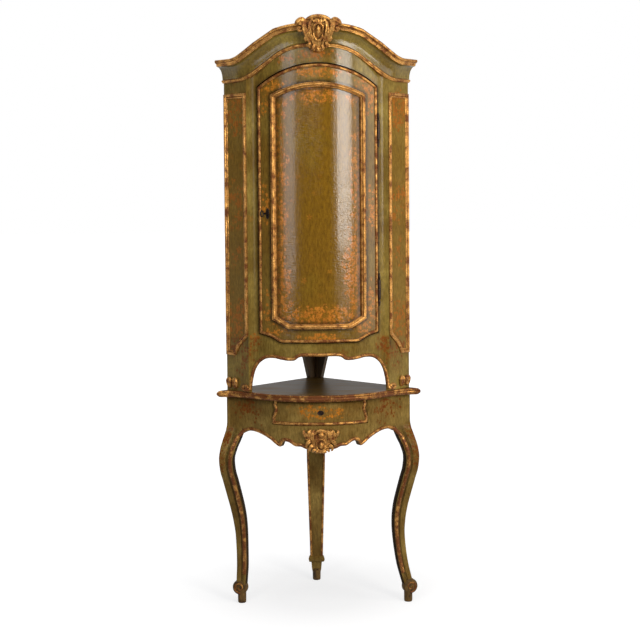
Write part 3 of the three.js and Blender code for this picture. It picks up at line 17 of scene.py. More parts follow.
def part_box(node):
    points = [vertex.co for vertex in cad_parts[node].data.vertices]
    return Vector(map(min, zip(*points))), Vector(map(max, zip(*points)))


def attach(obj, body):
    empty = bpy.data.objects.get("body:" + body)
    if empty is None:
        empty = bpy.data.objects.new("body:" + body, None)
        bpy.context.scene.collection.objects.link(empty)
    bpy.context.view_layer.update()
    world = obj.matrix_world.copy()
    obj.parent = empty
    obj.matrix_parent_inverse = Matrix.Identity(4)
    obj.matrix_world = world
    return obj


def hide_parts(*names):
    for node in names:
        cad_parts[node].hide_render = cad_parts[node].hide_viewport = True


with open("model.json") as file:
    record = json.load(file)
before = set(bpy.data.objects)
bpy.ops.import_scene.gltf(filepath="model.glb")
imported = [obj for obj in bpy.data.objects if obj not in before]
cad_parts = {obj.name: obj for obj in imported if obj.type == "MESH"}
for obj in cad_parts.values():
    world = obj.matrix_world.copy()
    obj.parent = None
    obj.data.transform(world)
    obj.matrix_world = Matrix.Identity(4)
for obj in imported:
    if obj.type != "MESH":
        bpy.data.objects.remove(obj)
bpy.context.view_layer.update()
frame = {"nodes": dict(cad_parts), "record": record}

# %% [markdown]
# ## Camera
# The camera was fitted to about twenty places of the photograph. It stands a little to the left
# of the cupboard, looks slightly down and leans by less than half a degree. A small vertical
# shift keeps the uprights nearly parallel, as they are in the photograph.

# %% Camera
def placed(name, data):
    """An object that shows a mesh, a lamp or a camera, put into the scene."""
    made = bpy.data.objects.new(name, data)
    bpy.context.scene.collection.objects.link(made)
    return made


image_side, focal_pixels, shift_pixels = 640, 1325.4, -44
camera_data = bpy.data.cameras.new("camera")
camera_data.sensor_width = 36.0
camera_data.lens = camera_data.sensor_width * focal_pixels / image_side
camera_data.shift_x, camera_data.shift_y = 0.0004, shift_pixels / image_side
camera = placed("camera", camera_data)
bpy.context.scene.camera = camera
yaw, pitch, roll = (math.radians(a) for a in (2.538, 3.205, -0.447))
ahead_way = Vector((math.sin(yaw) * math.cos(pitch), math.cos(yaw) * math.cos(pitch), -math.sin(pitch)))
level_right = Vector((math.cos(yaw), -math.sin(yaw), 0))
level_up = level_right.cross(ahead_way)
right_way = math.cos(roll) * level_right + math.sin(roll) * level_up
up_way = -math.sin(roll) * level_right + math.cos(roll) * level_up
turn = Matrix((right_way, up_way, -ahead_way)).transposed()
camera.matrix_world = Matrix.Translation((-0.209, -4.9515, 1.5)) @ turn.to_4x4()
print("lens", round(camera_data.lens, 2))

# %% [markdown]
# ## Light and floor
# The varnish shows two tall soft lights, a faint one on the left and a bright one on the right.
# They are area lamps, one on each side of the camera. The floor is white to the camera and keeps
# the soft shadow under the legs, and its glow is lower round the stand, a painted shadow of soft
# grey about the feet. To reflections it is darker in front, so that it doesn't lay a haze over the
# varnish.

# %% Colours and nodes
rgba = {"data_type": "RGBA"}


def linear(code):
    """An sRGB hex colour as linear RGBA."""
    parts = [int(code[i:i + 2], 16) / 255 for i in (1, 3, 5)]
    return [p / 12.92 if p <= 0.04045 else ((p + 0.055) / 1.055) ** 2.4 for p in parts] + [1.0]


def node(tree, kind, settings=(), **links):
    """Adds a node, applies its settings and joins or fills its inputs.

    A kind without a family is a shader node, and a setting of one word is the node's operation.
    An input goes by its name, or by its number as i0. A value may be a node, whose first live
    output is joined, an output, a hex colour, or plain data."""
    family = "" if kind.startswith(("Geometry", "NodeGroup")) else "ShaderNode"
    made = tree.nodes.new(family + kind)
    if isinstance(settings, str):
        settings = {"operation": settings}
    for name, value in dict(settings).items():
        setattr(made, name, value)
    for name, value in links.items():
        socket = made.inputs[int(name[1:]) if name[0] == "i" and name[1:].isdigit() else name.replace("_", " ")]
        if isinstance(value, bpy.types.Node):
            value = next(output for output in value.outputs if output.enabled)
        if isinstance(value, bpy.types.NodeSocket):
            tree.links.new(value, socket)
        else:
            hex_colour = isinstance(value, str) and value.startswith("#")
            socket.default_value = linear(value) if hex_colour else value
    return made


print("white is", linear("#FFFFFF"))

# %% World
world = bpy.data.worlds.new("studio")
bpy.context.scene.world = world
world.use_nodes = True
sky = world.node_tree
sky.nodes.clear()
rays = node(sky, "LightPath").outputs
seen = node(sky, "Math", "MAXIMUM", i0=rays["Is Camera Ray"], i1=rays["Is Glossy Ray"])
seen = node(sky, "Math", "MAXIMUM", i0=seen, i1=rays["Is Transmission Ray"])
toward = node(sky, "SeparateXYZ", Vector=node(sky, "TexCoord").outputs["Generated"]).outputs["Y"]
room = node(sky, "MapRange", Value=toward, From_Min=-0.2, From_Max=0.4, To_Min=0.05)
room = node(sky, "Math", "MAXIMUM", i0=room, i1=rays["Is Camera Ray"])
fill = node(sky, "Background", Color="#F4F6FF", Strength=0.26)
white = node(sky, "Background", Color="#FFFFFF", Strength=room)
node(sky, "OutputWorld", Surface=node(sky, "MixShader", i0=seen, i1=fill, i2=white))
print("world", world.name)

# %% Lamps
# Bearing from the front in degrees, reach, height, height of the target, width, height, watts, colour
lamps = {
    "right_softbox": (32, 3.4, 1.98, 1.7, 1.0, 1.5, 62, "#FFFAF2"),
    "left_softbox": (-31, 3.4, 1.9, 1.6, 0.8, 1.8, 17, "#F6F8FF"),
    "right_wide": (62, 4.2, 1.9, 1.3, 2.4, 2.6, 58, "#FFFAF2"),
    "broad_front": (-12, 5.2, 3.4, 1.1, 3.6, 1.6, 60, "#FFFFFF"),
    "overhead": (0, 1.2, 3.8, 1.2, 2.6, 2.2, 28, "#FFFFFF"),
}
for name, (bearing, reach, height, target, wide, tall, watts, code) in lamps.items():
    data = bpy.data.lights.new(name, "AREA")
    data.shape, data.size, data.size_y = "RECTANGLE", wide, tall
    data.energy, data.color = watts, linear(code)[:3]
    a = math.radians(bearing)
    place = Vector((math.sin(a) * reach, -math.cos(a) * reach, height))
    aim = (Vector((0, 0, target)) - place).to_track_quat("-Z", "Y").to_matrix().to_4x4()
    placed(name, data).matrix_world = Matrix.Translation(place) @ aim
bpy.context.scene.view_settings.view_transform = "Standard"
print("lamps", len(lamps))

# %% Floor
def new_material(name):
    """A material and its empty node tree."""
    made = bpy.data.materials.new(name)
    made.use_nodes = True
    made.node_tree.nodes.clear()
    return made, made.node_tree


floor_reach = 60  # metres
mesh = bpy.data.meshes.new("floor")
mesh.from_pydata([(x * floor_reach, y * floor_reach, 0) for x, y in ((-1, -1), (1, -1), (1, 1), (-1, 1))],
                 [], [(0, 1, 2, 3)])
floor = placed("floor", mesh)
paper, tree = new_material("white_studio_paper")
path = node(tree, "LightPath").outputs
watched = node(tree, "Math", "MAXIMUM", i0=path["Is Camera Ray"], i1=path["Is Glossy Ray"])
diffuse = node(tree, "BsdfDiffuse", Color="#A0A0A0")
place = node(tree, "TexCoord").outputs["Object"]
away = node(tree, "VectorMath", "LENGTH", i0=place)
# Painted shadow: the glow is lower within 0.75 m of the middle, so the floor turns soft grey round the stand's feet
near = node(tree, "MapRange", Value=away, From_Min=0.15, From_Max=0.75, To_Min=0.645, To_Max=0.85)
far = node(tree, "MapRange", Value=away, From_Min=1.0, From_Max=5.0, To_Max=0.2)
glow = node(tree, "Math", "ADD", i0=near, i1=far)
depth = node(tree, "SeparateXYZ", Vector=place).outputs["Y"]
dim = node(tree, "MapRange", Value=depth, From_Min=-1.5, From_Max=0.3, To_Min=0.06)
dim = node(tree, "Math", "MAXIMUM", i0=dim, i1=path["Is Camera Ray"])
glow = node(tree, "Math", "MULTIPLY", i0=glow, i1=dim)
glow = node(tree, "Emission", Color="#FFFFFF", Strength=glow)
lit = node(tree, "AddShader", i0=diffuse, i1=glow)
node(tree, "OutputMaterial", Surface=node(tree, "MixShader", i0=watched, i1=diffuse, i2=lit))
mesh.materials.append(paper)
print("floor", 2 * floor_reach, "m wide")

# %% [markdown]
# ## Sizes
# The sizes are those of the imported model, in millimetres. A plan point is (x, ahead), where
# ahead is measured out of the room's corner.

# %% Sizes
corner_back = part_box("stand_top")[1].y * 1000  # where the room's corner lies along Y
gap, door_gap, arch_gap = 0.3, 2.5, 4
stand_height, under_top = 808.0, 808.0 - 24.3
cabinet_half, pilaster_width, cove_width, cove_drop, door_rise = 338.0, 115.0, 39.2, 6.3, 68.4
front_thickness, door_thickness = 24, 22
apron_half, apron_rise = 246.0, 136  # the apron ends where the feet begin
half_root = math.sqrt(0.5)
pilaster_edge = (cabinet_half - pilaster_width * half_root, cabinet_half + pilaster_width * half_root)
wall_end = (cabinet_half, cabinet_half)
opening_half = pilaster_edge[0] - cove_width
door_half = opening_half - door_gap
door_radius = (opening_half ** 2 + door_rise ** 2) / (2 * door_rise)
cabinet_bow = pilaster_edge[1] + cove_drop + door_rise
door_centre = cabinet_bow - door_radius
top_tip, top_bow, top_bow_radius, apron_inset = cabinet_half + 38, cabinet_bow + 41, 340, 35
hands = ((1, "right"), (-1, "left"))
print("corner at", round(corner_back, 2), "door radius", round(door_radius, 2), "bow", round(cabinet_bow, 2))

# %% Lines
def at(x, ahead, z):
    return x / 1000, (corner_back - ahead) / 1000, z / 1000


def arc(centre, radius, start, end, count):
    return [(centre[0] + radius * math.sin(a), centre[1] + radius * math.cos(a))
            for a in np.linspace(start, end, count + 1)]


def both_sides(half):
    """A line from the middle to the right, with its mirror image before it."""
    return [(-x, a) for x, a in half[:0:-1]] + list(half)


def straight(start, end, count):
    """Places on a straight line, after its start and up to its end."""
    start, end = np.array(start, float), np.array(end, float)
    return [tuple(start + k / count * (end - start)) for k in range(1, count + 1)]


def run_of(line):
    """How far along a line each of its points lies."""
    return np.concatenate([[0], np.cumsum(np.linalg.norm(np.diff(np.array(line), axis=0), axis=1))])


def bezier(points, count):
    p = np.array(points, float)
    n = len(p) - 1
    return [tuple(sum(math.comb(n, k) * (1 - t) ** (n - k) * t ** k * p[k] for k in range(n + 1)))
            for t in np.linspace(0, 1, count + 1)]


def smooth(points, count):
    """A centripetal Catmull-Rom line through points, as evenly spaced places."""
    p = [np.array(q, float) for q in points]
    p = [2 * p[0] - p[1]] + p + [2 * p[-1] - p[-2]]
    out = []
    for i in range(1, len(p) - 2):
        t = [0.0]
        for k in range(3):
            t.append(t[-1] + max(np.linalg.norm(p[i + k] - p[i + k - 1]), 1e-9) ** 0.5)
        for u in np.linspace(t[1], t[2], 24, endpoint=False):
            a = [(t[k + 1] - u) / (t[k + 1] - t[k]) * p[i - 1 + k] + (u - t[k]) / (t[k + 1] - t[k]) * p[i + k]
                 for k in range(3)]
            b = [(t[k + 2] - u) / (t[k + 2] - t[k]) * a[k] + (u - t[k]) / (t[k + 2] - t[k]) * a[k + 1]
                 for k in range(2)]
            out.append((t[2] - u) / (t[2] - t[1]) * b[0] + (u - t[1]) / (t[2] - t[1]) * b[1])
    out = np.array(out + [p[-2]])
    run = run_of(out)
    return [tuple(np.interp(q, run, out[:, k]) for k in range(out.shape[1]))
            for q in np.linspace(0, run[-1], count + 1)]


def offset(line, distance, closed=False):
    """A line set off to its left by a distance, with mitred corners."""
    def left(a, b):
        d = b - a
        d /= np.linalg.norm(d, axis=1)[:, None]
        return np.column_stack([-d[:, 1], d[:, 0]])

    p = np.array(line, float)
    before, after = np.roll(p, 1, axis=0), np.roll(p, -1, axis=0)
    if not closed:
        before[0], after[-1] = 2 * p[0] - p[1], 2 * p[-1] - p[-2]
    n, m = left(before, p), left(p, after)
    return p + (n + m) * (distance / (1 + (n * m).sum(1)))[:, None]


print("a quarter turn of 10 mm is", round(run_of(arc((0, 0), 10, 0, math.pi / 2, 30))[-1], 2), "mm long")

# %% Sheets
class Sheet:
    """A plan line as a sheet on which outlines are drawn, and which bends them round the front."""

    def __init__(self, line):
        self.line = np.array(line, float)
        steps = np.diff(self.line, axis=0)
        self.s = run_of(self.line)
        self.s -= self.s[-1] / 2
        normal = np.column_stack([-steps[:, 1], steps[:, 0]]) / np.linalg.norm(steps, axis=1)[:, None]
        ends = np.vstack([normal[:1], normal, normal[-1:]])
        self.out = ends[:-1] + ends[1:]
        self.out /= np.linalg.norm(self.out, axis=1)[:, None]

    def along(self, x):
        return np.interp(x, self.line[:, 0], self.s)

    def place(self, s):
        x, a = np.interp(s, self.s, self.line[:, 0]), np.interp(s, self.s, self.line[:, 1])
        o = np.array([np.interp(s, self.s, self.out[:, 0]), np.interp(s, self.s, self.out[:, 1])])
        return x, a, o / np.linalg.norm(o, axis=0)

    def point(self, s, z, proud):
        x, a, o = self.place(s)
        return at(x + o[0] * proud, a + o[1] * proud, z)


print("a sheet 10 mm wide runs from", Sheet([(0, 0), (10, 0)]).s[0], "to", Sheet([(0, 0), (10, 0)]).s[-1])

# %% [markdown]
# ## Plans and outlines
# Seen from above, the front is a wide bow, a small hollow on each side, and a flat pilaster that
# runs back to the wall. Drawing that plan once, and every outline flat on it, keeps the boards
# and the mouldings together as they bend.

# %% Plans
door_swing = math.asin(opening_half / door_radius)
door_arc = arc((0, door_centre), door_radius, 0, door_swing, 48)


def cabinet_plan():
    end = door_arc[-1]
    chord = (pilaster_edge[0] - end[0], pilaster_edge[1] - end[1])
    bend = door_swing + math.atan2(chord[1], chord[0])
    radius = math.hypot(*chord) / (2 * math.sin(bend))
    centre = (end[0] + radius * math.sin(door_swing), end[1] + radius * math.cos(door_swing))
    start = math.pi + door_swing
    cove = arc(centre, radius, start, start - 2 * bend, 20)[1:]
    return both_sides(door_arc + cove + straight(pilaster_edge, wall_end, 12))


def cornice_plan():
    """The bow runs straight on to the pilaster, and the corner there is eased."""
    reach = (pilaster_edge[0], pilaster_edge[1] - door_centre)
    touch = math.atan2(*reach) - math.acos(door_radius / math.hypot(*reach))
    bow = arc((0, door_centre), door_radius, 0, touch, 48)
    end, ease = bow[-1], 45.0
    back = Vector((end[0] - pilaster_edge[0], end[1] - pilaster_edge[1])).normalized() * ease
    eased = bezier([(pilaster_edge[0] + back.x, pilaster_edge[1] + back.y), pilaster_edge,
                    (pilaster_edge[0] + ease * half_root, pilaster_edge[1] - ease * half_root)], 12)
    return both_sides(bow + eased + straight(eased[-1], wall_end, 6))


def top_plan():
    """The top's front edge ends in two ears."""
    swing = math.radians(42)
    bow = arc((0, top_bow - top_bow_radius), top_bow_radius, 0, swing, 48)
    end, pull = bow[-1], 0.13 * top_bow_radius
    ear = bezier([end, (end[0] + pull * math.cos(swing), end[1] - pull * math.sin(swing)),
                  (top_tip * 0.82, top_tip * 0.97), (top_tip, top_tip)], 24)
    return both_sides(bow + ear[1:])


def pilaster_sheet(hand):
    line = [pilaster_edge, wall_end]
    return Sheet(line if hand == 1 else [(-x, a) for x, a in line[::-1]])


cabinet_sheet = Sheet(cabinet_plan())
stand_plan = top_plan()
apron_sheet = Sheet(offset(stand_plan, -apron_inset))
print("round the cabinet's front", round(2 * cabinet_sheet.s[-1], 1), "mm")

# %% Arch of the cornice
neck_height, arch_drop, arch_half, arch_sharpness = stand_height + 1254, 115, 290, 1.53


def neck(x):
    share = np.minimum(np.abs(x) / arch_half, 1) ** arch_sharpness
    return neck_height - arch_drop * np.sin(math.pi / 2 * share) ** 2


def stretch(x):
    """How much taller a moulding stands where the arch slopes."""
    return np.hypot(1, (neck(x + 0.3) - neck(x - 0.3)) / 0.6)


def under_crown(x):
    return neck(x) + 64 * stretch(x)


print("arch rises", arch_drop, "mm")

# %% Outlines of the aprons
def as_array(line):
    return np.array(line).T


apron_shares = [(0, 1), (0.3, 0.985), (0.37, 0.9), (0.45, 0.885), (0.57, 0.91), (0.67, 0.945),
                (0.79, 0.92), (0.88, 0.8), (0.94, 0.62), (0.98, 0.35), (1, 0.06), (1, 0)]
apron_line = [(x, stand_height + z)
              for x, z in smooth([(x * apron_half, z * apron_rise) for x, z in apron_shares], 90)]
apron_x, apron_z = as_array(apron_line)
leg_turn, leg_width, leg_depth, knee_reach = math.radians(16), 62.0, 44.0, 31.0
leg_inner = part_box("stand_apron")[1].x * 1000
leg_corner = leg_inner + leg_width * math.cos(leg_turn)
stand_rise, stand_drop = 84, 200
stand_shares = [(0, 0), (0.19, 0.03), (0.25, 0.12), (0.33, 0.14), (0.41, 0.3), (0.475, 0.31),
                (0.515, 0.08), (0.56, 0.14), (0.64, 0.35), (0.725, 0.5), (0.815, 0.6), (0.9, 0.62),
                (0.99, 0.5), (1.05, 0.3)]
stand_line = [(x, stand_height - stand_drop + z)
              for x, z in smooth([(x * leg_inner, z * stand_rise) for x, z in stand_shares], 120)]
stand_x, stand_z = as_array(stand_line)


def apron_low(x):
    x = np.abs(x)
    return np.where(x < apron_half, np.interp(x, np.maximum.accumulate(apron_x), apron_z), stand_height + gap)


def stand_low(x):
    return np.interp(np.abs(x), stand_x, stand_z)


print("stand apron between the legs", round(2 * leg_inner, 1), "mm")

# %% Outlines of the door and its panel
door_foot, door_side, door_high = 186.0, 918.0, 996.5
door_step_shares = [(0.61, 0), (0.72, 0), (0.75, 21), (0.86, 23), (1, 31)]
step_line = np.array(bezier([(share * door_half, stand_height + door_foot + up)
                             for share, up in door_step_shares], 36))
panel_half, panel_rise = door_half - 44, 43.0
panel_radius = (panel_half ** 2 + panel_rise ** 2) / (2 * panel_rise)
panel_top, panel_foot = stand_height + door_foot + door_high - 63, stand_height + door_foot + 48
panel_corner, corner_start = 34, panel_half * 0.66


def door_arch(x, grow=0.0):
    rise = door_high - door_side
    radius = (door_half ** 2 + rise ** 2) / (2 * rise)
    centre = stand_height + door_foot + door_high - radius
    return centre + np.sqrt(np.maximum((radius + grow) ** 2 - np.asarray(x, float) ** 2, 0))


def door_low(x):
    return np.interp(np.abs(x), step_line[:, 0], step_line[:, 1])


def panel_arch(x, inset=0.0):
    return panel_top - panel_radius + np.sqrt((panel_radius - inset) ** 2 - np.asarray(x, float) ** 2)


def closed_outline(right):
    """A whole outline from its right half, clockwise from the middle of the top."""
    return right + [(-x, z) for x, z in right[-2:0:-1]]


door_edge = [(x, float(door_arch(x))) for x in np.linspace(0, door_half, 60)]
door_edge = closed_outline(door_edge + [tuple(p) for p in step_line[::-1]]
                           + [(x, step_line[0][1]) for x in (80.0, 40.0, 0.0)])
panel_edge = [(x, float(panel_arch(x))) for x in np.linspace(0, panel_half, 50)]
panel_edge += straight((panel_half, panel_top - panel_rise), (panel_half, panel_foot + panel_corner), 19)
panel_edge += straight((panel_half, panel_foot + panel_corner), (corner_start, panel_foot), 8)
panel_edge = closed_outline(panel_edge + straight((corner_start, panel_foot), (0, panel_foot), 19))
opening_edge = [(x * opening_half / door_half, z) for x, z in door_edge]
print("door", round(2 * door_half, 1), "mm wide, panel", round(2 * panel_half, 1), "mm")

# %% [markdown]
# ## Meshes
# Every piece is a closed mesh. A board is a fine grid in front, another as fine behind and four
# edges. A moulding is one profile carried round an outline. Faces are turned outwards at the
# end, because a mirrored piece comes out the wrong way round.

# %% Mesh helpers
def outward(mesh):
    work = bmesh.new()
    work.from_mesh(mesh)
    bmesh.ops.recalc_face_normals(work, faces=work.faces)
    work.to_mesh(mesh)
    work.free()


def piece(name, mesh, body, nodes, sharp):
    """Shades a mesh smooth up to an angle and lets it ride on a body."""
    made = placed(name, mesh)
    mesh.shade_smooth()
    mesh.set_sharp_from_angle(angle=math.radians(sharp))
    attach(made, body)
    if nodes:
        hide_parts(*nodes)
    return made


def finished(name, points, faces, material, body, nodes=(), paint=None, sharp=35):
    """A closed mesh with outward faces as a piece. paint holds its spread and its marks."""
    mesh = bpy.data.meshes.new(name)
    mesh.from_pydata([tuple(p) for p in points], [], faces)
    mesh.validate()
    if paint is not None:
        for label, kind, field, values in (("spread", "FLOAT_VECTOR", "vector", paint[0]),
                                           ("paint", "FLOAT_COLOR", "color", paint[1])):
            made = mesh.attributes.new(label, kind, "POINT")
            made.data.foreach_set(field, np.asarray(values, np.float32).ravel())
    outward(mesh)
    mesh.materials.append(material)
    return piece(name, mesh, body, nodes, sharp)


def grid_faces(rows, columns, start=0, closed_rows=False, closed_columns=False):
    faces = []
    for i in range(rows if closed_rows else rows - 1):
        here, there = start + i * columns, start + (i + 1) % rows * columns
        for j in range(columns if closed_columns else columns - 1):
            k = (j + 1) % columns
            faces.append((here + j, here + k, there + k, there + j))
    return faces


def swept_faces(rows, columns, start=0):
    """Faces of a closed profile carried along some rows, with both ends shut."""
    ends = [tuple(start + row * columns + k for k in range(columns)) for row in (0, rows - 1)]
    return grid_faces(rows, columns, start, closed_columns=True) + ends


def soft(t):
    t = np.clip(t, 0, 1)
    return t * t * (3 - 2 * t)


print("a tube of 3 rings has", len(swept_faces(3, 8)), "faces")

# %% Boards and mouldings
back_marks = (0, 0, 0.5, 0)  # bare of flowers, and half dirty


def board(shells, face, back, low, high, marks, columns, rows, back_low=None, proud=0.0):
    """Adds a bent board: a fine front, a back and four edges. face is a sheet with its ends along it."""
    sheet, start, end = face
    s = np.linspace(start, end, columns)
    x, a, out = sheet.place(s)
    low_z, high_z = low(x), high(x)
    under = low_z if back_low is None else back_low(x)
    points, spread, paint = [], [], []
    front_place = (x + out[0] * proud, a + out[1] * proud)
    for place, foot, shares in ((front_place, low_z, np.linspace(0, 1, rows)),
                                (back(s), under, np.linspace(1, 0, rows))):
        for share in shares:
            z = foot + (high_z - foot) * share
            points.append(np.column_stack(at(*place, z)))
            spread.append(np.column_stack([s / 1000, z / 1000, np.zeros(columns)]))
            paint.append(marks(x, z) if place is front_place else np.tile(back_marks, (columns, 1)))
    first = sum(len(p) for p, *_ in shells)
    faces = grid_faces(2 * rows, columns, first, closed_rows=True)
    for i in range(rows - 1):
        for j in (0, columns - 1):
            faces.append(tuple(first + row * columns + j for row in (i, i + 1, 2 * rows - 2 - i, 2 * rows - 1 - i)))
    shells.append((np.vstack(points), faces, np.vstack(spread), np.vstack(paint)))


def joined_boards(name, shells, material, body, node_name):
    points, faces, spread, paint = zip(*shells)
    return finished(name, np.vstack(points), sum(faces, []), material, body, [node_name],
                    (np.vstack(spread), np.vstack(paint)))


def behind(sheet, thickness):
    """The back of a board of one thickness, as a function of the place along its sheet."""
    def back(s):
        x, a, out = sheet.place(s)
        return x - out[0] * thickness, a - out[1] * thickness
    return back


def moulding(name, sheet, outline, profile, body, node_name, waver):
    """A profile of (across, proud) points that follows a closed outline of (along, z) on a sheet."""
    lines = [offset(outline, across, True) for across, _ in profile]
    rings = []
    for i in range(len(outline)):
        for (across, proud), line in zip(profile, lines):
            s, z = line[i]
            shake = waver * noise.noise(Vector((s / 9, z / 9, across / 7))) if proud > 1 else 0
            rings.append(sheet.point(s, z, proud + shake))
    faces = grid_faces(len(outline), len(profile), 0, True, True)
    return finished(name, rings, faces, gilt, body, [node_name], sharp=50)


print("helpers ready")

# %% [markdown]
# ## Painted wood
# The green is an old oil paint under an amber varnish. The brush left upright streaks, the paint
# is darkened beside the mouldings as dirt and painted shade, and flowers were painted over it with
# a thin brush. The meshes carry two attributes: how far each place lies along its sheet, and how
# much flower, amber tone, dirt and painted shade, and rust red it gets. Only the varnish shines, so
# the paint itself has no gloss.

# %% Painted flowers
def flowers(tree, spread, floral, rust):
    """Flowers of five petals, each turned its own way: bright ones 24 mm across, rusty ones up to 43 mm."""
    shaken = node(tree, "TexNoise", {"noise_dimensions": "2D"}, Vector=spread, Scale=90, Detail=2)
    shaken = node(tree, "VectorMath", "SCALE", i0=shaken.outputs[1], Scale=0.007)
    bent = node(tree, "VectorMath", "ADD", i0=spread, i1=shaken)
    grown = node(tree, "Math", "MULTIPLY_ADD", i0=rust, i1=1.2, i2=1.25)
    dense = node(tree, "Math", "DIVIDE", i0=44.0, i1=grown)
    cells = node(tree, "TexVoronoi", {"voronoi_dimensions": "2D"}, Vector=bent, Scale=dense, Randomness=0.9)
    away = node(tree, "VectorMath", "SUBTRACT", i0=bent, i1=cells.outputs["Position"])
    xy = node(tree, "SeparateXYZ", Vector=away).outputs
    chance = node(tree, "SeparateColor", Color=cells.outputs["Color"]).outputs
    angle = node(tree, "Math", "ARCTAN2", i0=xy[1], i1=xy[0])
    angle = node(tree, "Math", "ADD", i0=angle, i1=chance[0])
    angle = node(tree, "Math", "MULTIPLY", i0=angle, i1=2.5)
    petal = node(tree, "Math", "ABSOLUTE", i0=node(tree, "Math", "COSINE", i0=angle))
    edge = node(tree, "Math", "MULTIPLY_ADD", i0=petal, i1=0.0062, i2=0.0032)
    edge = node(tree, "Math", "MULTIPLY", i0=edge, i1=grown)
    inside = node(tree, "Math", "SUBTRACT", i0=edge, i1=node(tree, "VectorMath", "LENGTH", i0=away))
    flower = node(tree, "MapRange", Value=inside, From_Min=-0.0012, From_Max=0.0014)
    keep = node(tree, "Math", "SUBTRACT", i0=floral, i1=chance[1])
    keep = node(tree, "MapRange", Value=keep, From_Min=-0.08, From_Max=0.08)
    flower = node(tree, "Math", "MULTIPLY", i0=flower, i1=keep)
    return bent, flower


def sprigs(tree, spread, bent, floral):
    """Leaves 10 mm across and thin curling stems between the flowers."""
    leaves = node(tree, "TexVoronoi", {"voronoi_dimensions": "2D"}, Vector=bent, Scale=72, Randomness=1)
    leaf = node(tree, "MapRange", Value=leaves, From_Min=0.42, From_Max=0.3)
    fate = node(tree, "SeparateColor", Color=leaves.outputs["Color"])
    some = node(tree, "Math", "SUBTRACT", i0=floral, i1=fate)
    some = node(tree, "MapRange", Value=some, From_Min=0.0, From_Max=0.15)
    leaf = node(tree, "Math", "MULTIPLY", i0=leaf, i1=some)
    curl = node(tree, "TexNoise", {"noise_dimensions": "2D"}, Vector=spread, Scale=34, Detail=1, Distortion=1.2)
    curl = node(tree, "Math", "ABSOLUTE", i0=node(tree, "Math", "SUBTRACT", i0=curl, i1=0.5))
    stem = node(tree, "MapRange", Value=curl, From_Min=0.03, From_Max=0.008)
    stem = node(tree, "Math", "MULTIPLY", i0=stem, i1=floral)
    return node(tree, "Math", "MAXIMUM", i0=leaf, i1=stem)


print("petals", 5, "to a flower")

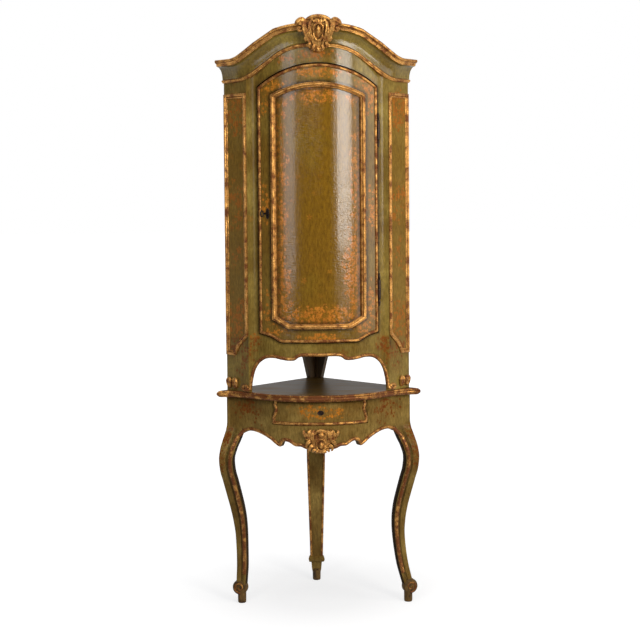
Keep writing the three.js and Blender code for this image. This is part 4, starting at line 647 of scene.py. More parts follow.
# %% Painted wood
def painted_wood(name, light, dark, amber, gloss):
    """Oil paint on a gessoed board: mottling, brush streaks, flowers, dirt and painted shade, and a glossy varnish."""
    made, tree = new_material(name)
    place = node(tree, "TexCoord").outputs["Object"]
    spread = node(tree, "Attribute", {"attribute_name": "spread"}).outputs["Vector"]
    marks = node(tree, "Attribute", {"attribute_name": "paint"}).outputs
    parts = node(tree, "SeparateColor", Color=marks["Color"])
    floral, tone, shade_and_dirt_mask, rust = *parts.outputs[:3], marks["Alpha"]

    # Mottling about 150 mm across, and brush streaks 9 mm wide and 200 mm tall
    cloud = node(tree, "TexNoise", Vector=place, Scale=7, Detail=6, Roughness=0.6)
    tall = node(tree, "Mapping", Vector=place, Scale=(1, 1, 0.045))
    streak = node(tree, "TexNoise", Vector=tall, Scale=110, Detail=3, Roughness=0.55)
    mix = node(tree, "Math", "MULTIPLY_ADD", i0=streak, i1=0.22, i2=cloud)
    mix = node(tree, "MapRange", Value=mix, From_Min=0.46, From_Max=0.76)
    base = node(tree, "Mix", rgba, i0=mix, i6=light, i7=dark)
    warm = node(tree, "Math", "MULTIPLY_ADD", i0=cloud, i1=0.9, i2=-0.2)
    warm = node(tree, "Math", {"operation": "MULTIPLY_ADD", "use_clamp": True}, i0=tone, i1=0.75, i2=warm)
    base = node(tree, "Mix", rgba, i0=warm, i6=base, i7=amber)

    bent, flower = flowers(tree, spread, floral, rust)
    sprig = sprigs(tree, spread, bent, floral)
    drawn = node(tree, "Math", "MAXIMUM", i0=flower, i1=sprig)
    haze = node(tree, "Math", "MULTIPLY_ADD", i0=floral, i1=0.14, i2=drawn)
    worn = node(tree, "TexNoise", Vector=place, Scale=120, Detail=4, Roughness=0.7)
    worn = node(tree, "MapRange", Value=worn, From_Min=0.36, From_Max=0.56, To_Min=0.34, To_Max=0.96)
    drawn = node(tree, "Math", {"operation": "MULTIPLY", "use_clamp": True}, i0=haze, i1=worn)
    orange = node(tree, "Mix", rgba, i0=cloud, i6="#9E5618", i7="#C07C28")
    ink = node(tree, "Mix", rgba, i0=rust, i6=orange, i7="#5C2A10")
    base = node(tree, "Mix", rgba, i0=drawn, i6=base, i7=ink)

    # Fine wear 6 mm wide and 20 mm tall, dirt and painted shade beside the mouldings, and small dark knocks
    brushed = node(tree, "Mapping", Vector=place, Scale=(1, 1, 0.3))
    rubbed = node(tree, "TexNoise", Vector=brushed, Scale=170, Detail=5, Roughness=0.7)
    rubbed = node(tree, "MapRange", Value=rubbed, From_Min=0.35, From_Max=0.65, To_Min=0.7, To_Max=1.24)
    base = node(tree, "VectorMath", "SCALE", i0=base, Scale=rubbed)
    specks = node(tree, "TexVoronoi", Vector=place, Scale=55, Randomness=1)
    specks = node(tree, "MapRange", Value=specks, From_Min=0.11, From_Max=0.05, To_Max=0.5)
    # Dirt and painted shade: where the paint attribute asks for it, the paint turns dark brown beside mouldings and
    # gaps
    dirt_and_shade = node(tree, "Math", "MULTIPLY_ADD", i0=worn, i1=0.7, i2=0.35)
    dirt_and_shade = node(tree, "Math", "MULTIPLY", i0=dirt_and_shade, i1=shade_and_dirt_mask)
    dirt_and_shade = node(tree, "Math", "MAXIMUM", i0=dirt_and_shade, i1=specks)
    base = node(tree, "Mix", rgba, i0=dirt_and_shade, i6=base, i7="#2A1C0A")

    # Varnish: fine cracks 15 mm wide and 5 mm tall, drawn coarse so that they show, and the brush's waves
    wide = node(tree, "Mapping", Vector=place, Scale=(0.35, 0.35, 1))
    cracks = node(tree, "TexVoronoi", {"feature": "DISTANCE_TO_EDGE"}, Vector=wide, Scale=190)
    cracks = node(tree, "MapRange", Value=cracks, From_Max=0.12)
    height = node(tree, "Math", "MULTIPLY_ADD", i0=streak, i1=1.4, i2=cracks)
    bump = node(tree, "Bump", Height=height, Strength=0.32, Distance=0.0006)
    skin = node(tree, "Bump", Height=height, Strength=0.16, Distance=0.0006)
    rough = node(tree, "MapRange", Value=cloud, From_Min=0.3, From_Max=0.7, To_Min=0.36, To_Max=0.52)
    shader = node(tree, "BsdfPrincipled", Base_Color=base, Roughness=rough, Normal=bump, Coat_Normal=skin, IOR=1.5)
    shader.inputs["Specular IOR Level"].default_value = 0.0  # the varnish alone shines
    shader.inputs["Coat Weight"].default_value = gloss
    shader.inputs["Coat Roughness"].default_value = 0.09
    node(tree, "OutputMaterial", Surface=shader)
    return made


green_paint = painted_wood("olive_oil_paint_varnished", "#8E793B", "#5C4A22", "#74561A", 0.24)
glossy_paint = painted_wood("olive_oil_paint_newly_varnished", "#8B7836", "#59481C", "#6C4F18", 0.75)
panel_paint = painted_wood("amber_varnished_panel", "#7E6F1E", "#514313", "#705010", 0.9)
stand_paint = painted_wood("browned_olive_oil_paint", "#937B42", "#5F4B26", "#6E5020", 0.06)
print("painted finishes", 4, "with", len(green_paint.node_tree.nodes), "nodes each")

# %% [markdown]
# ## Gilding, iron and bare wood
# Water gilding is gold leaf over a red-brown clay. Ambient occlusion darkens its hollows as painted
# shade, so it stays bright on the ridges, and where hands and dusters have rubbed it, the clay
# shows. Two noises, one of 26 mm and one of 5 mm, give the rubbed places. Iron, the dark top and
# the woods need only two colours along a grain.

# %% Gilding
def gilding(name, wear):
    made, tree = new_material(name)
    place = node(tree, "TexCoord").outputs["Object"]
    broad = node(tree, "TexNoise", Vector=place, Scale=38, Detail=4, Roughness=0.6)
    fine = node(tree, "TexNoise", Vector=place, Scale=210, Detail=3, Roughness=0.65)
    both = node(tree, "Math", "MULTIPLY_ADD", i0=fine, i1=0.8, i2=broad)
    bare = node(tree, "MapRange", Value=both, From_Min=0.93 - wear, From_Max=1.1 - wear)
    shade = node(tree, "MapRange", Value=fine, From_Min=0.36, From_Max=0.64)
    leaf = node(tree, "Mix", rgba, i0=shade, i6="#99652C", i7="#EEB567")
    clay = node(tree, "Mix", rgba, i0=broad, i6="#3A1C0A", i7="#7C4419")
    colour = node(tree, "Mix", rgba, i0=bare, i6=leaf, i7=clay)
    # Painted shade: ambient occlusion darkens the gilding's hollows towards a dark brown
    hollow = node(tree, "AmbientOcclusion", {"samples": 6}, Distance=0.007).outputs["AO"]
    hollow = node(tree, "MapRange", Value=hollow, From_Min=0.25, From_Max=0.8, To_Min=0.85, To_Max=0.0)
    colour = node(tree, "Mix", rgba, i0=hollow, i6=colour, i7="#2A160A")
    metal = node(tree, "MapRange", Value=bare, To_Min=0.85, To_Max=0.15)
    rough = node(tree, "MapRange", Value=both, From_Min=0.7, From_Max=1.1, To_Min=0.3, To_Max=0.55)
    bump = node(tree, "Bump", Height=both, Strength=0.35, Distance=0.0012)
    shader = node(tree, "BsdfPrincipled", Base_Color=colour, Metallic=metal, Roughness=rough, Normal=bump)
    shader.inputs["Specular IOR Level"].default_value = 0.2
    node(tree, "OutputMaterial", Surface=shader)
    return made


gilt = gilding("water_gilding_over_red_bole", 0.064)
worn_gilt = gilding("rubbed_gilding_over_red_bole", 0.125)
edge_gilt = gilding("rubbed_edge_of_red_bole_and_gold", 0.2)
print("gilding", gilt.name, worn_gilt.name, edge_gilt.name)

# %% Iron, top and bare wood
def plain(name, dark, light, scale, squeeze, roughness, metallic=0.0, shine=0.5):
    """A surface of two colours along a stretched grain."""
    made, tree = new_material(name)
    place = node(tree, "TexCoord").outputs["Object"]
    long = node(tree, "Mapping", Vector=place, Scale=squeeze)
    grain = node(tree, "TexNoise", Vector=long, Scale=scale, Detail=6, Roughness=0.62, Distortion=0.4)
    spread = node(tree, "MapRange", Value=grain, From_Min=0.35, From_Max=0.65)
    colour = node(tree, "Mix", rgba, i0=spread, i6=dark, i7=light)
    bump = node(tree, "Bump", Height=grain, Strength=0.25, Distance=0.0008)
    rough = node(tree, "MapRange", Value=grain, From_Min=0.3, From_Max=0.7, To_Min=roughness - 0.08,
                 To_Max=roughness + 0.1)
    shader = node(tree, "BsdfPrincipled", Base_Color=colour, Roughness=rough, Normal=bump, Metallic=metallic)
    shader.inputs["Specular IOR Level"].default_value = shine
    node(tree, "OutputMaterial", Surface=shader)
    return made


# Forged iron is nearly black with a dull gleam. The top's paint is rubbed smooth and has a grain
# 40 mm long. Stained poplar is dark and matt, and bare poplar is pale with long fibres.
iron = plain("hand_forged_iron", "#1C1410", "#3E3028", 90, (1, 1, 1), 0.38, 0.75)
dark_top = plain("dark_painted_top_polished", "#33260F", "#6A4F22", 26, (0.25, 1.6, 1), 0.4, 0, 0.06)
worn_foot = plain("worn_paint_over_brown_wood", "#2A1C0E", "#6E5228", 70, (1, 1, 0.5), 0.6, 0, 0.2)
stained = plain("stained_poplar", "#33240F", "#5A4322", 60, (1, 1, 0.06), 0.62)
bare_wood = plain("old_poplar", "#5E4426", "#86673C", 70, (1, 1, 0.05), 0.66)
print("materials", len(bpy.data.materials))

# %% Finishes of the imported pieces
paints = {"green": green_paint, "panel": panel_paint, "gilt": gilt, "dark_top": dark_top,
          "bare_wood": bare_wood, "iron": iron}
slot_of = {part["node"]: part["material_slot"] for part in frame["record"]["subparts"]}
own_finish = {"stand_top": dark_top}
own_finish.update(dict.fromkeys(("back_board_left", "back_board_right", "cabinet_top"), stained))
own_finish.update(dict.fromkeys(("back_leg", "side_rail_left", "side_rail_right"), stand_paint))
for name, made in frame["nodes"].items():
    made.data.materials.clear()
    made.data.materials.append(own_finish.get(name, paints[slot_of[name]]))
print("finished nodes", len(frame["nodes"]))

# %% [markdown]
# ## The cabinet's front
# The front is a bowed frame of boards. Each board is a fine grid bent round the plan, so that
# the varnish reflects in one smooth stripe. The flowers are marked in soft ovals where the
# painter put them.

# %% Marks on the boards
def patches(x, z, spots):
    """How thickly flowers are painted: the strongest of some soft ovals.

    An oval is its middle as x and z, its half width and half height, and its strength."""
    total = np.zeros(np.broadcast(x, z).shape)
    for cx, cz, rx, rz, strength in spots:
        total = np.maximum(total, strength * soft(1.35 - np.hypot((x - cx) / rx, (z - cz) / rz)))
    return total


def near_line(x, z, outline, width):
    """1 at a closed outline, falling to 0 at a width from it."""
    p = np.array(outline, float)
    best = np.full(np.shape(x), 1e9)
    for (ax, az), (bx, bz) in zip(p, np.roll(p, -1, axis=0)):
        dx, dz = bx - ax, bz - az
        t = np.clip(((x - ax) * dx + (z - az) * dz) / max(dx * dx + dz * dz, 1e-9), 0, 1)
        best = np.minimum(best, np.hypot(x - ax - t * dx, z - az - t * dz))
    return soft(1 - best / width)


def marks_of(spots, tone=0.0, lines=(), rust=0.0):
    """A function of (x, z) that gives flower, tone, dirt and painted shade, and rust for every place of a board."""
    def marks(x, z):
        x, z = np.broadcast_arrays(x, z)
        dirt_and_shade = np.zeros(x.shape)
        # Each outline darkens the paint beside it, as dirt and painted shade
        for outline, width, strength in lines:
            dirt_and_shade = np.maximum(dirt_and_shade, strength * near_line(x, z, outline, width))
        return np.column_stack([patches(x, z, spots), np.full(x.shape, tone), dirt_and_shade, np.full(x.shape, rust)])
    return marks


frieze_spots = [(-8, 2022, 78, 24, 0.9), (62, 2016, 45, 20, 0.5), (-110, 2000, 50, 22, 0.3)]
door_spots = [
    (8, 1960, 85, 20, 0.95), (-150, 1912, 50, 26, 0.7), (165, 1912, 40, 30, 0.75), (-190, 1870, 18, 60, 0.6),
    (190, 1870, 18, 60, 0.7), (190, 1470, 20, 100, 0.9), (-190, 1480, 20, 80, 0.6), (190, 1120, 20, 110, 0.6),
    (-190, 1110, 20, 80, 0.4), (5, 1012, 80, 16, 0.95), (165, 1050, 45, 26, 0.8), (-150, 1040, 45, 24, 0.6)]
panel_spots = [
    (0, 1882, 85, 34, 0.95), (-142, 1500, 34, 420, 0.62), (145, 1450, 30, 380, 0.75), (130, 1240, 42, 170, 0.9),
    (-135, 1180, 34, 150, 0.75), (20, 1086, 150, 42, 1.0), (128, 1880, 34, 50, 0.7), (-128, 1880, 34, 50, 0.6)]
apron_spots = [(-228, 1000, 26, 30, 0.9), (228, 990, 26, 34, 0.8), (-262, 950, 34, 40, 0.75),
               (262, 945, 34, 42, 0.75), (-285, 890, 26, 34, 0.5), (290, 890, 26, 34, 0.5)]
pilaster_spots = [(side * 298, z, 34, tall, strength) for side in (-1, 1)
                  for z, tall, strength in ((1830, 80, 0.8), (1500, 90, 0.65), (1040, 120, 0.85), (1300, 50, 0.3))]
print("painted places", sum(map(len, (frieze_spots, door_spots, panel_spots, apron_spots, pilaster_spots))))

# %% Door boards
hold, panel_depth, panel_recess = 7.3, 17, 8  # the panel ends this far inside the moulding's outer edge
lap = 3


def panel_low(x):
    return panel_foot + hold + np.interp(np.abs(x), [corner_start - lap, panel_half - hold], [0, panel_corner - lap])


half = cabinet_sheet.along(panel_half - hold)
shells = []
# The panel is darkened along the inner edge of its moulding, as dirt and painted shade
board(shells, (cabinet_sheet, -half, half), behind(cabinet_sheet, panel_depth), panel_low,
      lambda x: panel_arch(x, hold), marks_of(panel_spots, 1.0, [(offset(panel_edge, -20, True), 16, 0.75)]),
      110, 110, proud=-panel_recess)
joined_boards("bowed_door_panel", shells, panel_paint, "door", "door_panel")

# The door's boards are darkened along the panel moulding and the door's edge, as dirt and painted shade
door_marks = marks_of(door_spots, 0.6, [(panel_edge, 14, 0.9), (door_edge, 16, 0.6)])
joint = panel_half - 7
bevel = door_thickness * math.tan(math.radians(22))  # clears the frame as the door opens
for name, start, end, low, high, node_name, columns, rows, back_low in (
        ("door_hinge_stile", joint, door_half, door_low, door_arch, "hinge_stile", 26, 130, None),
        ("door_lock_stile", -door_half, -joint, door_low, door_arch, "lock_stile", 26, 130, None),
        ("door_head", gap - joint, joint - gap, lambda x: panel_arch(x, 7), door_arch, "door_top_rail", 100, 24, None),
        ("door_foot_rail", gap - joint, joint - gap, door_low, lambda x: panel_low(x) - gap, "door_bottom_rail",
         100, 24, lambda x: np.maximum(door_low(x), door_low(x + bevel)))):
    shells = []
    board(shells, (cabinet_sheet, cabinet_sheet.along(start), cabinet_sheet.along(end)),
          behind(cabinet_sheet, door_thickness), low, high, door_marks, columns, rows, back_low)
    joined_boards(name, shells, glossy_paint, "door", node_name)

# %% Frame of the cabinet
back_line = offset(both_sides(door_arc + [pilaster_edge, wall_end]), -front_thickness)


def frame_back(s):
    x = cabinet_sheet.place(s)[0]
    inner = np.interp(x, back_line[:, 0], back_line[:, 1])
    return x, np.where(np.abs(x) > back_line[-1][0], np.abs(x), inner)


# The frame is darkened along the door's opening, as dirt and painted shade
frame_marks = marks_of(frieze_spots + apron_spots + pilaster_spots, 0.0, [(opening_edge, 12, 0.8)], 0.35)
strip_inner, strip_outer = 262, 332  # the amber strip inside the pilaster's moulding


def pilaster_marks(x, z):
    """Adds the amber strip, the dirt and painted shade along the moulding and the rust red flowers of the feet."""
    marks = frame_marks(x, z)
    x = np.abs(x)
    within = soft((x - strip_inner) / 5) * soft((strip_outer - x) / 5) * soft((1888 - z) / 8) * soft((z - 985) / 30)
    marks[:, 1] = np.maximum(marks[:, 1], 0.75 * within)
    # Dirt and painted shade darken the paint along both edges of the amber strip, beside the frame moulding
    edge = soft(1 - np.abs(x - strip_inner) / 9) + soft(1 - np.abs(x - strip_outer - 1) / 9)
    edge = np.clip(edge, 0, 1) * soft((1895 - z) / 6) * soft((z - 960) / 20)
    marks[:, 2] = np.maximum(marks[:, 2], 0.55 * edge)
    marks[:, 3] = np.where(z < 1010, 0.8, marks[:, 3])
    return marks


for hand, side in hands:
    shells = []
    for start, end, columns in ((opening_half, apron_half, 60), (apron_half, cabinet_half, 44)):
        a, b = sorted((cabinet_sheet.along(hand * start), cabinet_sheet.along(hand * end)))
        board(shells, (cabinet_sheet, a, b), frame_back, apron_low, under_crown, pilaster_marks, columns, 150)
    joined_boards("cabinet_stile_" + side, shells, green_paint, "carcass", "front_stile_" + side)

rail_half = cabinet_sheet.along(opening_half)
rail = (cabinet_sheet, -rail_half, rail_half)
shells = []
board(shells, rail, frame_back, lambda x: door_arch(x, arch_gap), under_crown, frame_marks, 110, 30)
joined_boards("bowed_frieze", shells, glossy_paint, "carcass", "top_rail")
shells = []
board(shells, rail, frame_back, apron_low, lambda x: door_low(x) - door_gap, pilaster_marks, 130, 30)
joined_boards("cabinet_apron", shells, green_paint, "carcass", "bottom_rail")

# %% [markdown]
# ## Mouldings
# The cornice is three mouldings that run level round the plan while they rise over the arch, so
# each is a profile swept along the plan with its height taken from the arch.

# %% Cornice
def round_part(centre, radius, start, end, count=8):
    """An arc of a profile: centre and radius as (proud, up), angles in degrees from proud towards up."""
    return [(centre[0] + radius[0] * math.cos(a), centre[1] + radius[1] * math.sin(a))
            for a in np.radians(np.linspace(start, end, count + 1))]


def cornice(name, profile, node_name, material=None, waver=0.0):
    plan = cornice_plan()
    lines = [offset(plan, proud) for proud, _ in profile]
    points = []
    for i, (x, _) in enumerate(plan):
        for (proud, up), line in zip(profile, lines):
            px, ahead = line[i]
            shake = waver * noise.noise(Vector((px / 8, up / 5, ahead / 8))) if proud > 0 else 0
            points.append(at(px, ahead + shake, neck(x) + (up + shake) * stretch(x)))
    return finished(name, points, swept_faces(len(plan), len(profile)), material or gilt, "carcass",
                    [node_name], sharp=55)


neck_profile = ([(-12, -13), (6, -13), (7, -12.4), (7, -10.6)]
                + round_part((6.2, -5.8), (5.3, 4.6), -80, 85, 10) + [(5.5, 0), (-12, 0)])
cornice("gilt_neck_bead", neck_profile, "neck_bead", waver=0.4)
cove_profile = [(-12, 0.3), (6, 0.3)] + round_part((32.4, 1.5), (-26, 43.2), 0, 86.4, 13) + [(32.4, 45), (-12, 45)]
cornice("green_cornice_cove", cove_profile, "cornice_cove", glossy_paint)
crown_profile = ([(-12, 45.3), (34, 45.3), (35.5, 46.2), (35.5, 48.6)]
                 + round_part((43.5, 49), (-7.5, 8.5), 0, 90, 6)
                 + round_part((40.2, 63), (4.8, 5.6), -70, 80, 10) + [(38, 69), (-12, 69)])
cornice("gilt_crown_moulding", crown_profile, "crown_moulding", waver=0.5)
print("cornice points", len(cornice_plan()))

# %% Moulding round the panel
def sheet_outline(sheet, outline):
    return [(float(sheet.along(x)), z) for x, z in outline]


panel_profile = ([(-8.3, -7.5), (-8.3, 0.4), (-2.2, 0.4), (-2.2, 4.6), (-3.2, 5.4), (-4.6, 5.2), (-5.3, 4.4)]
                 + round_part((-9.9, 4.4), (4.4, 4.3), 12, 165, 10)
                 + [(-14.8, 3.2), (-15.3, 1.2), (-16.2, 0.6), (-17.6, 0.8), (-18.6, -1.2), (-19, -7.5)])
moulding("gilt_panel_moulding", cabinet_sheet, sheet_outline(cabinet_sheet, panel_edge), panel_profile, "door",
         "panel_moulding", 0.5)
print("panel moulding", len(panel_profile), "points across")

# %% Frames of the pilasters
frame_profile = ([(0, 0.5), (0, 4.8), (-1.2, 5.6), (-2.6, 5.4)] + round_part((-6, 4.6), (3.6, 3), 20, 160)
                 + [(-10.2, 3.6), (-11, 2.6), (-12, 3.4), (-13.4, 3.9), (-15, 3.4), (-16.4, 1.6), (-17, 0.5)])
frame_low, frame_high, frame_inset = stand_height + 132, stand_height + 1085, 1.0
foot_rise, foot_reach = 0.078, 0.44  # the shaped foot, as shares of the frame's height and width
frame_foot = smooth([(1, foot_rise), (0.82, 0.058), (0.64, 0.04), (0.52, 0.02), (foot_reach, 0)], 10)
frame_loop = [(0, k / 24) for k in range(25)] + [(k / 6, 1) for k in range(1, 6)]
frame_loop += [(1, 1 - k / 24 * (1 - foot_rise)) for k in range(24)] + list(frame_foot)
frame_loop += [(foot_reach - k / 4 * foot_reach, 0) for k in range(1, 4)]
wide, tall = pilaster_width - 2 * frame_inset, frame_high - frame_low
for hand, side in hands:
    outline = [(pilaster_width / 2 - frame_inset - a * wide, frame_low + up * tall) for a, up in frame_loop][::-1]
    if hand < 0:
        outline = [(-s, z) for s, z in outline][::-1]
    moulding("gilt_pilaster_frame_" + side, pilaster_sheet(hand), outline, frame_profile, "carcass",
             "pilaster_frame_" + side, 0.6)
print("frames", round(tall), "mm tall")

# %% Moulded edge of the stand's top
edge_profile = ([(-12, 0), (-5.5, 0), (-4.6, -0.6)] + round_part((-3.6, -4.6), (3.4, 4), 75, -60)
                + [(-1.2, -9.4), (-0.2, -10.6), (0, -14.6), (-0.6, -16.6), (-2.4, -19.6), (-5.4, -22.4),
                   (-8, -24), (-12, -24)])
nose, edge_middle = 15.0, -11.5  # the tips are worn round over the nose's length
lines = [offset(stand_plan, across) for across, _ in edge_profile]
plan_run = run_of(stand_plan)
points = []
for i, run in enumerate(plan_run):
    worn_share = min(run, plan_run[-1] - run) / nose
    tall = math.sqrt(max(1 - (1 - min(worn_share, 1)) ** 2, 0.12))
    for (across, up), line in zip(edge_profile, lines):
        x, ahead = line[i]
        up = edge_middle + (up - edge_middle) * tall
        shake = 0.35 * noise.noise(Vector((x / 10, ahead / 10, up / 6))) if across > -8 else 0
        points.append(at(x, ahead + shake, stand_height + up))
finished("gilt_stand_edge", points, swept_faces(len(stand_plan), len(edge_profile)), edge_gilt, "carcass",
         ["stand_top_edge"], sharp=55)
print("edge", round(plan_run[-1]), "mm long")

# %% [markdown]
# ## Beads that follow an edge
# Every shaped edge carries a gilded bead, 8 to 14 mm wide. One Geometry Nodes tree makes them
# all: it takes a line whose points know which way the surface faces, sweeps a flattened round
# along it, and lets the carver's hand waver a little.

# %% Bead tree
def bead_tree():
    tree = bpy.data.node_groups.new("carved bead along a line", "GeometryNodeTree")
    for name, kind, value in (
            ("Line", "Geometry", None), ("Width", "Float", 0.008), ("Proud", "Float", 0.005),
            ("Waver", "Float", 0.0004), ("Sides", "Int", 14), ("Seed", "Int", 3), ("Finish", "Material", None)):
        socket = tree.interface.new_socket(name, in_out="INPUT", socket_type="NodeSocket" + kind)
        if value is not None:
            socket.default_value = value
    tree.interface.new_socket("Bead", in_out="OUTPUT", socket_type="NodeSocketGeometry")
    given = node(tree, "NodeGroupInput").outputs
    curve = node(tree, "GeometryNodeMeshToCurve", Mesh=given["Line"])
    way_out = node(tree, "GeometryNodeInputNamedAttribute", {"data_type": "FLOAT_VECTOR"}, Name="out")
    turned_line = node(tree, "GeometryNodeSetCurveNormal", {"mode": "FREE"}, Curve=curve, Normal=way_out)
    circle = node(tree, "GeometryNodeCurvePrimitiveCircle", Resolution=given["Sides"], Radius=1.0)
    half = node(tree, "Math", "MULTIPLY", i0=given["Width"], i1=0.5)
    size = node(tree, "CombineXYZ", X=given["Proud"], Y=half, Z=1.0)
    flat = node(tree, "GeometryNodeTransform", Geometry=circle, Scale=size)
    swept = node(tree, "GeometryNodeCurveToMesh", Curve=turned_line, Profile_Curve=flat, Fill_Caps=True)
    shake = node(tree, "TexNoise", {"noise_dimensions": "4D"}, W=given["Seed"], Scale=90.0, Detail=2.0)
    centred = node(tree, "Math", "SUBTRACT", i0=shake, i1=0.5)
    amount = node(tree, "Math", "MULTIPLY", i0=centred, i1=given["Waver"])
    push = node(tree, "VectorMath", "SCALE", i0=node(tree, "GeometryNodeInputNormal"), Scale=amount)
    moved = node(tree, "GeometryNodeSetPosition", Geometry=swept, Offset=push)
    real = node(tree, "GeometryNodeRealizeInstances", Geometry=moved)
    node(tree, "NodeGroupOutput", Bead=node(tree, "GeometryNodeSetMaterial", Geometry=real, Material=given["Finish"]))
    return tree


def set_inputs(modifier, **values):
    """Sets a modifier's named inputs by their identifiers."""
    for item in modifier.node_group.interface.items_tree:
        if item.item_type == "SOCKET" and item.in_out == "INPUT" and item.name in values:
            modifier[item.identifier] = values[item.name]


beads = bead_tree()
print("bead nodes", len(beads.nodes))

# %% Beads as pieces
def made_plain(rough, name, body, nodes, sharp=45):
    """Turns an object with live modifiers into a plain gilt mesh that rides on a body."""
    mesh = bpy.data.meshes.new_from_object(rough.evaluated_get(bpy.context.evaluated_depsgraph_get()))
    bpy.data.objects.remove(rough)
    mesh.name = name
    return piece(name, mesh, body, nodes, sharp)


def bead(name, line, body, node_name, width, proud, material=worn_gilt, waver=0.9, closed=False):
    """A gilded bead along a line of (point, outward direction), in metres."""
    points, outs = zip(*line)
    edges = [(i, i + 1) for i in range(len(line) - 1)] + [(len(line) - 1, 0)] * closed
    mesh = bpy.data.meshes.new(name + "_line")
    mesh.from_pydata(points, edges, [])
    mesh.attributes.new("out", "FLOAT_VECTOR", "POINT").data.foreach_set("vector", np.array(outs, np.float32).ravel())
    rough = placed(name + "_line", mesh)
    modifier = rough.modifiers.new("bead", "NODES")
    modifier.node_group = beads
    set_inputs(modifier, Width=width / 1000, Proud=proud / 1000, Waver=waver / 1000, Finish=material)
    return made_plain(rough, name, body, [node_name])


def on_sheet(sheet, outline, across, closed=False, tail=()):
    """An outline of (x, z), set in by a distance, as points on a sheet with the way they face."""
    flat = offset(sheet_outline(sheet, outline), across, closed)
    line = []
    for s, z in [(-s, z) for s, z in tail[::-1]] + list(flat) + list(tail):
        out = sheet.place(s)[2]
        line.append((sheet.point(s, z, 0.2), (out[0], -out[1], 0)))
    return line


def spaced(outline, step, closed=False):
    """An outline with its places about one step apart."""
    p = np.array(outline + ([outline[0]] if closed else []), float)
    run = run_of(p)
    q = np.linspace(0, run[-1], max(int(run[-1] / step), 4) + 1)
    out = [(float(np.interp(v, run, p[:, 0])), float(np.interp(v, run, p[:, 1]))) for v in q]
    return out[:-1] if closed else out


print("door edge in", len(spaced(door_edge, 5, True)), "steps")

# %% Beads of the door, the aprons and the drawer
bead("gilt_door_bead", on_sheet(cabinet_sheet, spaced(door_edge, 5, True), -5.7, True), "door", "door_bead",
     11, 5.4, closed=True)

# The apron's bead ends on each foot in a curl
bead_inset, bead_lift = 6.5, 24
kept = [(x, z) for x, z in apron_line if z > stand_height + bead_lift]
curl_reach, curl_tall, curl_up, curl_turn = 21.0, 9.5, stand_height + 15.5, 7.6
curl_along = float(cabinet_sheet.along(apron_half)) + bead_inset + curl_reach
curl = [(curl_along - curl_reach * (1 - 0.6 * t) * math.cos(t * curl_turn),
         curl_up - curl_tall * (1 - 0.6 * t) * math.sin(t * curl_turn)) for t in np.linspace(0, 1, 30)]
bead("gilt_apron_bead", on_sheet(cabinet_sheet, spaced(both_sides(kept), 4), bead_inset, tail=curl), "carcass",
     "apron_bead", 12.5, 6)
kept = [(x, z) for x, z in stand_line if x < leg_inner - 1]
stand_bead_line = on_sheet(apron_sheet, spaced(both_sides(kept), 4), bead_inset)
bead("gilt_stand_apron_bead", stand_bead_line, "carcass", "stand_apron_bead", 13, 6)

drawer_half, drawer_low, drawer_high = 174, stand_height - 113, stand_height - 25
drawer_shares = [(0.99, 0), (0.985, 0.3), (0.955, 0.5), (0.94, 0.65), (0.965, 0.82), (0.95, 0.92), (0.95, 1)]
side_line = [(drawer_half * x, drawer_low + 0.5 + up * (drawer_high - drawer_low - 1))
             for x, up in smooth(drawer_shares, 40)]
drawer_line = side_line[::-1] + [(-x, z) for x, z in side_line]
bead("gilt_drawer_bead", on_sheet(apron_sheet, spaced(drawer_line, 4), -6), "drawer", "drawer_moulding", 11.5, 5.4)

# %% Stand apron and drawer front
leg_spots = [(-262, 735, 56, 36, 0.85), (262, 735, 56, 36, 0.85), (-235, 705, 30, 26, 0.5), (235, 705, 30, 26, 0.5)]
drawer_spots = [(0, 742, 92, 26, 0.85)]
apron_marks = marks_of(leg_spots, 0.12, [], 0.85)


def stand_marks(x, z):
    """Adds dirt and painted shade above the apron's bead."""
    marks = apron_marks(x, z)
    # The paint is darkened within 22 mm above the bead, as dirt and painted shade
    marks[:, 2] = np.maximum(marks[:, 2], 0.5 * soft(1 - (z - stand_low(x)) / 22))
    return marks


def level(height):
    """A straight edge at one height."""
    return lambda x: np.full(x.shape, height)


shells = []
mouth = drawer_half + 1  # the opening is 1 mm wider and lower than the drawer
for start, end, high, columns in ((-leg_inner, -mouth, under_top, 50), (-mouth, mouth, drawer_low - 1, 130),
                                  (mouth, leg_inner, under_top, 50)):
    board(shells, (apron_sheet, apron_sheet.along(start), apron_sheet.along(end)), behind(apron_sheet, 22),
          stand_low, level(high), stand_marks, columns, 40)
joined_boards("stand_apron_board", shells, stand_paint, "carcass", "stand_apron")
shells = []
a = apron_sheet.along(drawer_half)
# The drawer front is darkened along its bead, as dirt and painted shade
board(shells, (apron_sheet, -a, a), behind(apron_sheet, 20), level(drawer_low), level(drawer_high),
      marks_of(drawer_spots, 0.25, [(drawer_line, 12, 0.8)]), 110, 36)
joined_boards("bowed_drawer_front", shells, stand_paint, "drawer", "drawer_front")

# %% [markdown]
# ## Legs
# The front legs are cabriole legs, sawn in an S and carved with a hollow beside a gilded bead.
# A leg is a row of sections. Each station says how high it is, how far the knee pushes out
# there, and how wide and deep the wood is, and a smooth line runs through all of them. At the
# top the section follows the apron's bow, so that leg and apron look like one board.

